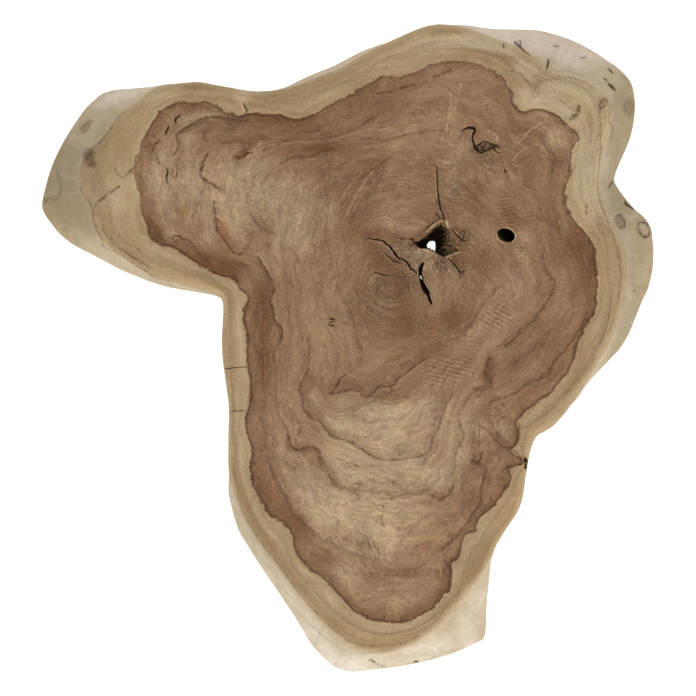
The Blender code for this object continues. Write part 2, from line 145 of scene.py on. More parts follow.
# Dark lines in the wood: set, half width, strength, shade, course. Strength below 0 is a pale line.
# Shade is how far the wood darkens beside the line, above 0 to the right of its course, below 0 to the left.
LINES = [
    (0, .8, .70, 9, [(174, 155), (178, 145), (176, 136), (180, 131.6), (190, 126), (198, 120), (209, 117.5), (220, 116.7), (230, 118.8), (238, 120.4), (247, 121)]),
    (0, .8, .80, 13, [(257.6, 256), (265.6, 270), (272, 281.6), (274, 289.6), (270.4, 301), (273.6, 310), (274.4, 320), (281.6, 328), (281.6, 339), (276.8, 345.6)]),
    (0, .8, .40, 12, [(276.8, 345.6), (274, 358), (275, 373), (277, 392), (278.4, 413), (283, 422), (288, 432)]),
    (0, .9, .70, 8, [(288, 432), (291, 446), (299, 449.6), (309, 446.4), (318.4, 449.6)]),
    (0, 1.8, .42, -18, [(318.4, 449.6), (320, 460), (325, 470), (333, 482), (339, 487), (350, 490)]),
    (0, .8, .30, -10, [(350, 490), (370, 493), (386, 494), (405, 498), (421, 490), (430, 494)]),
    (0, 1.0, .60, -10, [(430, 494), (440, 500), (448.4, 494.4), (453, 486)]),
    (0, .7, .45, -7, [(453, 486), (453, 477), (455, 464), (457, 449), (463.7, 435.6), (458.5, 416.7), (465.4, 403), (474, 391), (486, 386)]),
    (0, .6, .22, 0, [(493, 384), (489.5, 370), (488, 352)]),
    (0, .6, .35, 0, [(309, 339), (309.6, 352), (309, 368)]),
    (0, .8, .62, -12, [(309, 368), (302.4, 381), (299, 389), (302.4, 400), (304, 409.6), (312, 419), (319, 421), (328, 432), (334.4, 437.6), (350, 441.6), (360, 448), (371, 456), (384, 460)]),
    (0, .8, .50, -12, [(384, 460), (405, 459), (421, 456), (430, 451), (432, 440), (437, 432)]),
    (0, .7, .50, -10, [(437, 432), (441, 420), (446, 405), (452, 395), (455, 382)]),
    (0, .6, .30, 0, [(337.6, 293), (350.4, 315), (357, 330), (357, 342), (362.4, 354), (361, 363), (358, 368)]),
    (0, .9, .80, 0, [(345, 374), (339, 382), (331, 393.6)]),
    (0, .8, .75, -14, [(329.6, 394.4), (350.4, 390), (360, 392), (362.4, 396), (368, 397), (373, 393), (379, 387), (392, 385.6), (398, 379), (405, 374), (421, 361.6), (430, 357)]),
    (0, .7, .40, 0, [(372, 396), (380, 398), (388, 396), (392, 388)]),
    (0, .8, .62, -7, [(542.8, 255), (544.4, 268), (550, 278), (554, 282), (551, 293.6), (547, 301.6), (540, 309.6), (535.6, 317.6), (529, 324), (520, 330), (518, 335), (510, 341.6), (503.6, 348)]),
    (0, 1.2, .50, 9, [(588, 313), (580, 329), (575, 337.6), (569, 345), (558, 357.6), (551.6, 367), (548.4, 375), (540.4, 379), (529, 383), (519.6, 391), (508.4, 396), (491, 401.6)]),
    (0, .9, .70, -8, [(486, 466.6), (483.6, 478), (481, 489.6), (480.4, 504), (472.4, 513.6), (468.4, 523)]),
    (0, 1.1, .60, -9, [(468.4, 523), (461, 529.6), (455, 537.6), (448.4, 544), (441, 550.4)]),
    (0, .7, .45, -8, [(276, 147.6), (283.6, 141), (304, 140), (322.5, 138.4), (341, 134.7), (359.5, 127.3), (376, 115.3)]),
    (0, .8, .60, -6, [(280, 164), (293, 157.8), (311.4, 156.9), (322.5, 151.3), (335.4, 148.5)]),
    (0, .8, .65, -7, [(378, 94), (391, 91.2), (407.5, 86.6), (415, 84.7)]),
    (0, .8, .60, -5, [(433.4, 77.3), (442.7, 73.6), (452, 70)]),
    (0, .6, .35, 0, [(426, 101.4), (435.3, 100.4), (442.7, 97.7)]),
    (0, .6, .30, 0, [(407.5, 104), (424, 102.5), (432, 101)]),
    (0, .6, .30, 0, [(370.6, 131), (387.2, 126.3), (405.7, 125.4)]),
    (1, .6, .45, 0, [(359.5, 138.4), (370.6, 138.4), (389, 140.2), (405.7, 134.7), (433.4, 131), (442.7, 130)]),
    (1, .8, .55, 8, [(357.6, 180.9), (366.9, 173.5), (378, 166.1), (390.9, 156.9)]),
    (1, .7, .40, -5, [(350, 226), (356, 210), (363, 196), (372, 180), (384, 168)]),
    (1, .7, .35, 0, [(363, 214), (370.6, 192), (383.5, 173.5)]),
    (1, .7, .40, 0, [(322, 168), (325, 185), (328, 203), (327, 219.7), (325.2, 236.4), (330.8, 256.7), (330.8, 267.8)]),
    (1, .7, .90, 4, [(207.5, 152.5), (202.8, 165.4), (200.9, 174.7), (206.5, 181), (215.7, 185.8), (220.3, 191.3)]),
    (1, .9, .70, -5, [(214, 201), (215.9, 220.6), (218, 230.8), (226.1, 243), (234.3, 253.3), (242.4, 253.3)]),
    (1, .6, .45, -5, [(217.5, 137.7), (225, 144), (236, 141.4), (249, 145), (252.7, 139.5), (263.8, 139.5), (269.3, 143)]),
    (1, .5, .45, 0, [(248.6, 188), (247.6, 202.2), (252.7, 216.5), (262.9, 228.8), (275, 233.9)]),
    (1, .6, .90, 0, [(173.2, 237.7), (175, 235.5), (179, 236), (182.4, 239), (188, 240), (196, 249)]),
    (1, .7, .40, 0, [(196, 250), (202.8, 256), (210, 263.4), (222, 268), (236, 272)]),
    (1, .5, .80, 0, [(157.8, 142.7), (153.7, 146.1), (152.7, 149.2), (155.7, 155.3), (159.8, 164.5)]),
    (1, .5, .45, 0, [(178.2, 158.4), (177.1, 171.6), (175, 177.8)]),
    (1, .8, .60, 0, [(166.5, 167.6), (167.6, 172), (166.4, 177), (167.3, 182.9)]),
    (1, .4, .80, 0, [(179.2, 115.5), (175.5, 118.5), (174, 121), (175, 122.6)]),
    (1, .6, .40, 0, [(181, 184), (184, 187), (186, 186.6)]),
    (1, .7, .50, 4, [(474, 421.9), (489.5, 432), (498, 442.5), (510, 449.4), (520.5, 456), (525, 461)]),
    (1, 1.1, .70, 7, [(518.5, 424), (519, 433), (517.5, 442), (511, 448), (502, 447)]),
    (1, .9, .45, -5, [(498, 440), (496, 430), (499, 421), (507, 416.5)]),
    (1, .7, .25, 0, [(504, 443), (502, 432), (505, 422)]),
    (1, .7, .25, 0, [(510, 444), (509, 433), (511, 423)]),
    (0, .55, .95, 0, [(471, 461.5), (474, 460.5), (478, 462), (481.5, 458.5), (479.6, 455.5), (482.5, 452.6)]),
    (0, .5, .95, 0, [(479, 461), (477.6, 465.4), (475, 468.6)]),
    (1, .45, .90, 0, [(472, 464), (475, 463), (479.6, 467)]),
    (1, .5, .90, 0, [(473.4, 454.6), (476.6, 457.6), (478, 461)]),
    (1, .5, .85, 0, [(503, 470), (505, 467.6), (507, 468.6), (509, 466)]),
    (1, .8, .40, 0, [(537.8, 204.6), (543, 216.6), (549.8, 225)]),
    (1, .6, .45, 0, [(517, 164), (524, 158.5), (532.6, 155.5)]),
    (1, .9, .40, -8, [(541, 134), (546.4, 147.8), (551.5, 161.5), (552.4, 172)]),
    (1, .6, .40, 0, [(548, 159), (556, 161.8), (565, 160)]),
    (1, .6, .35, 0, [(500, 158), (503, 166), (505, 171.6), (507, 182)]),
    (1, 1.5, .90, 0, [(504.6, 171.2), (505.4, 172)]),
    (1, .6, .40, 0, [(503, 285.8), (496.4, 289), (486, 299.6), (475.8, 316.8), (458.5, 339), (451.7, 346)]),
    (1, .6, .45, 0, [(382.7, 504.7), (384, 512), (381, 519), (383.5, 527)]),
    (0, 1.6, .36, 12, [(264, 436), (266, 447), (269, 461), (276, 480), (284, 494), (290, 504), (295, 516), (303, 523), (311, 529), (323, 540)]),
    (0, 1.2, .25, 9, [(323, 540), (333, 543), (341, 550), (352, 552), (365, 557), (378, 560)]),
    (0, .6, .30, -6, [(352, 487), (366, 491), (377, 487), (390, 492), (402, 490), (412, 484), (421, 480)]),
    (1, .7, .36, -5, [(366, 500), (374, 496), (385, 499), (397, 497), (407, 494), (420, 495), (429, 490), (437, 493)]),
    (1, .8, .30, 7, [(455, 533), (448, 542), (440, 549), (432, 556), (424, 565), (410, 570)]),
    (1, .8, .22, -12, [(360.6, 573), (373.5, 577), (397.5, 575), (416, 577.8), (425, 574)]),
    (1, 1.4, .60, -7, [(443.8, 560), (449.3, 569.5), (448.3, 584)]),
    (1, 1.2, .85, 0, [(330.5, 318.6), (334.5, 319.8)]),
    (1, .9, .85, 0, [(329.5, 324.8), (333.5, 325.8)]),
    (1, .8, .60, 0, [(342, 322.4), (346.5, 323)]),
    (1, .6, .35, 0, [(287.8, 246.8), (298.9, 259.7), (300.8, 267)]),
    (1, .6, .38, 0, [(560, 100), (575, 112), (572, 118.5)]),
    (1, .7, .55, 0, [(570, 120), (575, 114), (580, 108)]),
    (1, .5, .55, 0, [(368, 661), (371.7, 660), (379, 664.7), (385, 667)]),
    (1, .5, -.55, 0, [(517, 144), (522, 140), (528, 132), (535, 127), (543, 122)]),
    (1, .5, -.45, 0, [(513, 160), (521, 151), (527, 147)]),
    (1, .5, -.45, 0, [(555, 149.5), (560, 146), (565, 144)]),
    (1, .7, -.6, 0, [(569, 121), (574, 124), (581, 124)]),
    (1, .7, -.6, 0, [(567, 126), (573, 128), (580, 128)]),
    (1, .45, -.65, 0, [(450.5, 93), (451, 103), (449, 114), (447, 130)]),
    (1, .45, -.55, 0, [(461, 82), (459, 94), (455, 106), (452, 120)]),
    (1, .6, -.40, 0, [(342, 224), (350, 206), (359, 190), (372, 172)]),
    (1, .6, -.35, 0, [(352, 214), (362, 195), (374, 178)]),
    (1, .6, -.30, 0, [(338, 205), (348, 188), (362, 172)]),
    (0, .55, -1.2, 0, [(488.4, 131), (493, 132.4), (496.4, 136), (497.6, 140)]),
    (1, .6, -.45, 0, [(247, 158), (252, 151), (258, 146), (262, 142)]),
    (1, .5, -.35, 0, [(250, 160), (255, 154), (262, 150)]),
    (1, .6, -.8, 0, [(238, 98), (241, 104), (244, 112)]),
    (1, .7, -.6, 0, [(214, 203), (218, 207), (216, 213), (221, 218)]),
    (1, .6, .70, 0, [(234.3, 156.3), (240.4, 158.4), (244.5, 154.3), (250.6, 152.2)]),
    (1, .6, .60, 0, [(242.4, 143), (245.5, 149.2), (250.6, 145.1)]),
    # the bark caught at the upper right
    (0, .8, .60, 0, [(459, 138), (461, 136.5), (464, 131.5)]),
    (1, .8, .70, 0, [(476, 151.6), (482, 153.6), (488, 151.4), (494, 149.4)]),
    (1, .6, .75, 0, [(475, 150), (479.5, 143.5), (484, 151), (488, 144), (493, 150.5), (497.5, 144.5)]),
    (1, .5, .60, 0, [(477, 147), (486, 151.5), (494, 146.5), (500, 149)]),
    (1, .45, .55, 0, [(478, 160), (484, 166), (492, 171), (503, 171.6)]),
    (1, .45, .45, 0, [(500, 152), (503, 160), (505, 170), (507.5, 180)]),
    # more of the fine grain in the right lobe and the sapwood there
    (0, .5, .20, 4, [(536, 86), (546, 80), (560, 79), (576, 84), (588, 92), (596, 104), (598, 122), (594, 148), (589, 172), (590, 196), (597, 216), (606, 238)]),
    (1, .45, .20, -4, [(528, 104), (536, 96), (548, 92), (562, 93), (574, 99)]),
    (1, .45, .20, 4, [(580, 118), (586, 134), (584, 152), (580, 168), (580, 188), (584, 208), (592, 226), (600, 244), (604, 262)]),
    (1, .8, .55, 0, [(578.6, 106), (576, 111.6), (573, 116.4), (570.6, 118.6)]),
    (0, .5, .70, 0, [(569, 121), (574.4, 117.6), (578.6, 112), (579.4, 106)]),
    (0, .5, .55, 0, [(564, 118.6), (569, 117.6), (573, 114.4)]),
    (1, .45, .75, 0, [(599.4, 107), (600.6, 101.4), (604.6, 98.6), (606.8, 102), (605, 106.4), (601.6, 108.4), (599.4, 107)]),
    (0, .6, .60, 0, [(601.6, 103.4), (604.4, 101.6)]),
    (0, .45, .60, 0, [(626.4, 103), (630.4, 102.6), (632.4, 107.6), (630, 113.4), (626.6, 113), (625.4, 108), (626.4, 103)]),
    (0, .4, .28, 0, [(444, 49), (470, 50), (500, 56), (522, 66), (534, 76), (548, 72), (566, 71), (584, 76)]),
    (0, .4, .30, 4, [(520, 430), (534, 422), (548, 412), (562, 398), (576, 380), (592, 356), (604, 334), (610, 312)]),
    (0, .4, .28, 4, [(204, 97), (232, 101), (262, 104), (292, 101), (318, 93), (342, 83), (364, 71), (388, 58), (412, 48), (436, 42), (462, 42)]),
    (1, .4, .26, -3, [(236, 430), (238, 462), (244, 492), (256, 518), (272, 540), (292, 566), (314, 590), (338, 614), (362, 630), (392, 634), (420, 626), (446, 606)]),
    # round the pith
    (0, .6, .60, 0, [(455, 234), (459.6, 237), (461.6, 240.6), (466, 241.6), (470, 239.6)]),
    (0, .5, .60, 0, [(453, 229.6), (459, 231.6), (466, 230.6), (471, 233)]),
    (0, .5, .60, 0, [(441, 219.6), (437.4, 216.6), (434.4, 214)]),
    (0, .6, .75, 0, [(443.6, 220.6), (446.4, 224), (448.6, 226.4)]),
    (0, .5, .70, 0, [(427, 226.6), (433, 223.4), (438, 221)]),
    (0, .6, .60, 0, [(448, 258), (452.6, 263), (456.4, 268.4), (461, 272), (465, 270.6)]),
    (1, .5, .55, 0, [(452, 259.4), (456, 262), (457.4, 266.4)]),
    (1, .5, .55, 0, [(460, 268), (462, 274), (460, 279)]),
    (1, .6, .60, 0, [(401, 238.6), (407, 239.4), (411, 238.4)]),
    (1, .6, -.9, 0, [(418.5, 249.6), (425, 250.4), (430, 252), (434, 255)]),
    (1, .5, -.8, 0, [(428, 262), (431, 270)]),
    (1, .5, -.8, 0, [(433, 262), (438, 272)]),
    (1, .5, -.7, 0, [(424.5, 262.5), (425.5, 270)]),
    (1, .5, -.6, 0, [(443, 259.5), (446, 266), (451, 274)]),
    (1, .4, .60, 0, [(456, 258), (458.6, 264), (457, 270), (461, 278)]),
    (1, .4, .50, 0, [(461, 259), (463, 266), (460.4, 271)]),
    (1, .6, .60, 0, [(436, 262), (438.6, 266), (442, 271)]),
    (1, .6, .60, 0, [(396, 283.6), (399.6, 287.6), (402, 288)]),
    (0, .5, .70, 0, [(425.4, 230.4), (429.6, 226.8), (434, 223), (439.6, 219)]),
    (1, .4, .60, 0, [(423.6, 227), (428, 224.6), (432.6, 221.4)]),
    (1, .45, -.7, 0, [(426, 232), (430.6, 228), (435.6, 223.8), (440.6, 220.6)]),
    (0, .45, .65, 0, [(436.6, 213), (439, 217), (442.6, 220.6)]),
    (1, .4, .55, 0, [(447, 213), (444.6, 217), (443.6, 220.6)]),
    (0, .4, .65, 0, [(457.6, 229), (460, 233), (458.6, 238), (461, 242.6)]),
    (1, .4, .60, 0, [(462.6, 228.6), (464.6, 233), (463, 238.6), (466.6, 243)]),
    (0, .4, .55, 0, [(467.6, 230), (469.6, 235), (468, 240)]),
    (1, .4, .60, 0, [(455.6, 243.6), (461, 245.6), (468, 244), (474, 246.6)]),
    (0, .4, .50, 0, [(456.6, 249), (462, 251), (468.6, 249.6)]),
    (1, .45, -.5, 0, [(455.8, 231), (457.4, 237), (456.8, 243)]),
    (1, .4, .55, 0, [(453.6, 256), (459.6, 258.4), (466, 257)]),
    (0, .45, .60, 0, [(462.6, 262), (465, 268), (463.6, 274), (467, 280)]),
    (1, .4, .50, 0, [(398.6, 235.4), (403, 236), (405, 238)]),
    (1, .4, .45, 0, [(392, 243), (397, 241.6), (402.6, 243)]),
    (0, .4, .45, 0, [(394.6, 226.6), (396, 232), (395, 238)]),
    (1, .5, .45, 0, [(370.6, 244), (376, 249.6), (380, 256), (384, 259)]),
    # painted highlight: pale lines on the lip of the borer hole
    (0, .55, -1.0, 0, [(504, 227.4), (509.4, 228.8), (514.4, 232.8), (515.8, 237.6), (513.4, 242)]),
    (1, .5, -.9, 0, [(496.4, 234.6), (498.4, 239.4), (502.6, 242.4), (507, 243.6)]),
    # painted highlight: a pale line on the lip at the top of the pith hole
    (0, .8, -1.3, 0, [(443.2, 220.8), (445.6, 222.6), (447.4, 225.2), (448.2, 228.6)]),
    (1, .5, -.9, 0, [(447, 257), (452, 254.6), (457, 252.4), (461, 252.6)]),
    (1, .5, -.8, 0, [(412, 249), (415.4, 252), (420, 252.4)]),
    # the swirl
    (1, .5, .50, 4, [(371, 290), (374, 282), (381, 276.6), (390, 275.6)]),
    (1, .45, .40, 0, [(376.6, 294), (379.6, 287.6), (385.6, 283)]),
    (0, .5, .45, -4, [(396, 274.6), (404, 279), (408, 287), (406, 296)]),
    (1, .5, .40, 0, [(384, 296), (391, 298), (398, 295.6), (402, 290)]),
    (1, .5, .40, 4, [(374, 302), (382, 307), (392, 308.6), (402, 305)]),
    (0, .45, .35, 0, [(366, 300), (371, 310), (380, 316), (392, 318)]),
    (1, .9, .55, 0, [(375.6, 283.6), (377.6, 286.4)]),
    (0, .7, .45, 0, [(383, 281.6), (386.6, 284.6), (386, 288)]),
    # sapwood and flank
    (0, .45, .55, 3, [(125, 111.8), (117.7, 117.3), (111.2, 128.4), (101, 141.4), (95.5, 146), (90, 150.6)]),
    (0, .5, .50, 3, [(79.8, 187.6), (84.4, 196.9), (90, 202.4), (92.7, 211.7), (93.6, 222.8), (101, 237.5), (104.7, 246.8), (123.2, 256), (136.2, 265.3), (151, 274.5), (169.5, 282)]),
    (0, .5, .45, 0, [(56.6, 171), (61.3, 185.8), (56.6, 199.6), (49.2, 197.8), (45.5, 201.5)]),
    (1, .45, .95, 0, [(94.5, 206.3), (98, 202), (103, 198.2), (111.2, 192.2), (119.5, 186)]),
    (0, .6, .45, 0, [(114.9, 169), (119.5, 176.5), (124, 177.4), (130.6, 171)]),
    (1, .5, .40, 0, [(101, 213), (104, 230), (113, 243), (131, 256), (150, 268)]),
    (1, .5, .35, 0, [(108, 205), (112, 226), (123, 240), (140, 250)]),
    (1, .5, .35, 0, [(503, 70), (520.5, 73.7), (529, 84), (532.6, 94.4), (537.8, 82.3), (548, 78.9), (563.6, 77), (582.5, 80.6), (592.9, 87.5)]),
    (0, .6, .45, 5, [(600, 106), (600.6, 147.8), (598, 187.4), (603, 209.7), (615, 242.5), (620, 268)]),
    (1, .5, .45, 0, [(611.8, 106), (609, 118), (613, 130), (610, 140)]),
    (1, .9, .70, 0, [(586, 205), (586.5, 213)]),
    (1, .5, .35, 0, [(606, 262), (609, 280), (611, 300), (607, 325), (600, 344)]),
    (0, .5, .35, 0, [(619, 250), (621, 275), (617, 305), (610, 330)]),
    (0, .5, .40, 0, [(234, 470), (241, 505), (253, 530), (270, 553), (290, 580), (310, 606), (335, 630), (352, 642), (373.5, 646.2), (400, 643.6), (418, 636)]),
    (1, .60, 1.1, 0, [(638, 224), (641.4, 222), (645.4, 223), (648.8, 227), (650, 232), (648.6, 236), (645, 237), (641, 234), (638, 229.4), (637.6, 226)]),
    (1, .6, .95, 0, [(617, 216), (620, 214.6), (623, 218.6), (624.6, 224), (623, 228), (619.6, 227.6), (616.6, 223), (616, 219)]),
    (1, .7, .70, 0, [(624, 202), (626.6, 205.6), (629, 206), (632, 208.4), (635, 209)]),
    (0, .4, .42, 0, [(267, 282), (263.4, 291), (262.6, 306), (263.2, 323), (262, 349), (263, 375), (265.6, 401), (261.4, 419), (267, 439)]),
    (0, .4, .50, 0, [(336, 286), (341, 294), (347, 305), (351.5, 314.7), (356.7, 337), (361, 347), (362.6, 355), (355, 368)]),
    (1, .4, .36, 0, [(320, 291), (323.6, 302), (327, 318)]),
    (0, .4, .38, 0, [(403, 104.6), (414, 103.4), (427.5, 104), (437.8, 99), (444, 100.4), (449, 105)]),
    (1, .9, .70, 0, [(489.8, 358), (485, 369.6), (487.6, 377), (492.6, 384.6)]),
    (1, .6, .62, 0, [(492.6, 385.4), (486, 389), (477.6, 390.4), (472.6, 387.4)]),
    (0, .7, .45, 0, [(496, 375.6), (505, 369), (514, 363.4), (525, 355.4), (534.6, 349), (543, 339)]),
    (0, .4, .40, 0, [(461, 339), (469.4, 325), (481.6, 308.4), (489, 299), (496, 290)]),
    (1, .6, .50, 0, [(300, 130.6), (310, 131.6), (321.4, 130.4)]),
    (0, .6, .55, 0, [(308.2, 339), (309, 350), (308.6, 360)]),
    (0, .6, .85, 0, [(179, 114.6), (175.6, 117), (176.4, 121)]),
    (0, .6, .90, 0, [(169, 126), (166.4, 130.6), (165.2, 135)]),
    (0, .5, .70, 0, [(159.6, 140.4), (155.2, 144), (154, 150)]),
    (0, .7, .90, 0, [(235.6, 157), (239.6, 158), (243.4, 156), (247.6, 153.4), (252.6, 153)]),
    (1, .5, .80, 0, [(243.4, 156), (245.4, 151), (247.6, 147.4)]),
    (1, .5, .75, 0, [(247, 110), (245.6, 114), (247.6, 118), (246, 122.6)]),
    (1, .8, .95, 0, [(437.6, 199), (438.2, 205), (439.6, 210)]),
    (1, 1.2, .95, 0, [(465.6, 130), (470, 128), (474, 129.8), (474, 133.6)]),
    (0, .9, .90, 0, [(477, 149.4), (483, 149), (489, 147), (495, 146)]),
    (1, .5, .22, 0, [(297, 612), (312, 626), (326, 638.6), (341, 648.6), (356, 653), (372, 652.6), (390, 650)]),
]

# Open cracks and torn pits in the top face: depth, [(x, y, half width), ...].
CRACKS = [
    (14, [(436.5, 168, .2), (437, 176, .3), (437.5, 187, .4), (438.2, 194, .5), (439.2, 200, .6), (439.7, 205, .55), (440.8, 210, .4), (443.3, 215.7, .45), (444, 220.5, .4)]),
    (16, [(367.3, 237.6, .2), (373, 239.3, .4), (379, 240, .5), (383.8, 241.3, .7), (386.4, 244.6, .6), (389.6, 246.3, .7), (391.4, 249.4, .8), (393.7, 251.2, .9), (397, 257, .9), (403.6, 259.5, .55), (407.8, 263.6, .6), (410, 268, .6), (412.7, 270.2, .7), (416.9, 273, .3)]),
    (5, [(384.6, 252.9, .15), (387, 255.4, .35), (389.6, 257, .35), (392, 260, .4), (394.5, 261.2, .4), (400.3, 263.6, .2)]),
    (5, [(375.5, 272.7, .15), (378.6, 272.9, .4), (381.3, 274.4, .45), (388, 276, .2)]),
    (6, [(409.4, 238.9, .3), (411.4, 239.2, .5), (413.2, 239.9, .5)]),
    (4, [(456, 236, .25), (459, 237.5, .35), (462, 240.4, .35), (469, 240.8, .2)]),
    (4, [(449, 259.6, .25), (452, 263, .35), (456, 267.4, .35), (460.6, 272, .35), (464.5, 271, .2)]),
    (4, [(168.6, 126.7, .2), (168, 128.8, .55), (165.3, 131.8, .5), (166, 133.9, .2)]),
    (4, [(243.6, 104, .2), (245, 107, .5), (247.2, 110.6, .2)]),
    (2, [(179.4, 115.6, .25), (176.4, 117.6, .45), (174.6, 120.4, .4), (175.4, 122.6, .2)]),
    (1.8, [(166.4, 168.4, .25), (167.8, 172.4, .4), (166.2, 176.6, .4), (167.4, 181.4, .2)]),
    (1.2, [(176.6, 172, .15), (176, 177.4, .25)]),
    (2.5, [(224.5, 368.6, .2), (231, 368.2, .28), (240, 367.6, .22), (246, 367, .15)]),
    (2, [(232, 410.7, .15), (238, 410.5, .2), (244.5, 410.3, .15)]),
    (3, [(462.4, 131, .3), (465, 128.6, .65), (469, 127.6, 1.1), (473.6, 128, 1.2), (474.8, 131.6, .9), (472.4, 136, .75), (472.8, 141, .75), (474, 145, 1.1), (475.6, 148.6, 1.5), (478, 150.6, 1.1)]),
    (2, [(477, 146.4, .55), (480, 143.4, .5), (485, 141.6, .45), (490, 143.4, .5), (496, 145.4, .65), (499, 147, .4)]),
    (2, [(480, 152.6, .55), (483, 152.4, .7), (487, 150, .6), (492, 147.8, .55), (495.4, 146.4, .4)]),
    (1.5, [(480, 145, .25), (482, 148, .3), (484.6, 150.6, .25)]),
    (1.5, [(486, 143, .25), (483.6, 146.6, .3), (481, 150.6, .25)]),
    (1.5, [(489.4, 144.6, .2), (490, 147.6, .25)]),
    (2, [(493.6, 149.4, .3), (496, 151.6, .55), (499.6, 153, .35)]),
    (2, [(504.4, 170.8, .5), (505.6, 172.4, .6)]),
    (1.6, [(424.4, 231, .2), (428.6, 227, .35), (433, 223, .35), (438.6, 219, .2)]),
    (1.6, [(435.6, 212, .2), (438.4, 216.4, .3), (441.4, 219.6, .2)]),
    (1.6, [(452.2, 230.6, .25), (454.6, 233.4, .4), (458, 235.6, .35), (461, 239.4, .3)]),
    (1.4, [(455.4, 263.6, .15), (457.2, 268, .28), (460.4, 273, .28), (459.6, 277, .15)]),
    (1.4, [(463.4, 231, .12), (464.4, 235, .2), (463.6, 239, .12)]),
    (1.6, [(440.4, 259.4, .2), (444, 264, .3), (447, 270, .2)]),
    (1.6, [(396.5, 236.4, .15), (400, 238.4, .3), (404.6, 238.6, .15)]),
    (1.4, [(330.5, 318.6, .5), (334.5, 319.8, .45)]),
    (1.4, [(329.5, 324.8, .4), (333.5, 325.8, .4)]),
    (7, [(525.0, 457.6, .6), (526.0, 460.5, 2.0), (526.2, 464, 2.1), (525.4, 468, .9)]),
]

# Pits and checks in the flank, in the same form.
FLANK_PITS = [
    (2.5, [(503.2, 43.5, .3), (503.6, 46, .7), (503.8, 48.4, .3)]),
    (4.5, [(514.5, 41.6, .4), (518, 45.4, .9), (521.5, 48.2, .7), (524.5, 51.4, .6), (529.5, 54.8, .3)]),
    (2.0, [(520.5, 40.6, .2), (520.4, 44, .5), (521.5, 48, .3)]),
    (4.0, [(548.4, 59.5, .4), (548, 64, .9), (546.4, 70, .4)]),
    (1.5, [(553.5, 46.3, .3), (556.5, 45.8, .5), (559, 46.8, .2)]),
    (1.5, [(580.4, 57.4, .2), (583.4, 58.4, .4), (586, 56.6, .2)]),
    (3.5, [(608.4, 68.6, .4), (610.2, 70.6, .9), (612.6, 73, .4)]),
    (3.0, [(603.6, 78.4, .3), (605.6, 79.6, .7), (606.6, 80.6, .3)]),
    (5.0, [(608, 83.2, .5), (611, 86.2, 1.3), (615.4, 90.2, .5)]),
    (3.0, [(612.5, 181, .3), (611, 183.4, .5), (608.5, 187.5, .3)]),
    (3.5, [(624.5, 201, .5), (626.5, 205, .8), (629, 206, .6), (632, 208.5, .4)]),
    (4.0, [(414.2, 661.8, .8), (417.6, 661.8, .9)]),
    (1.0, [(370.4, 659.4, .2), (372.6, 661, .5), (375, 662.6, .2)]),
    (1.0, [(633.4, 290.6, .3), (634.6, 291, .5), (635.2, 291.4, .3)]),
    (3.5, [(525.0, 457.6, .6), (526.0, 460.5, 2.0), (526.2, 464, 2.1), (525.4, 468, .9)]),
]

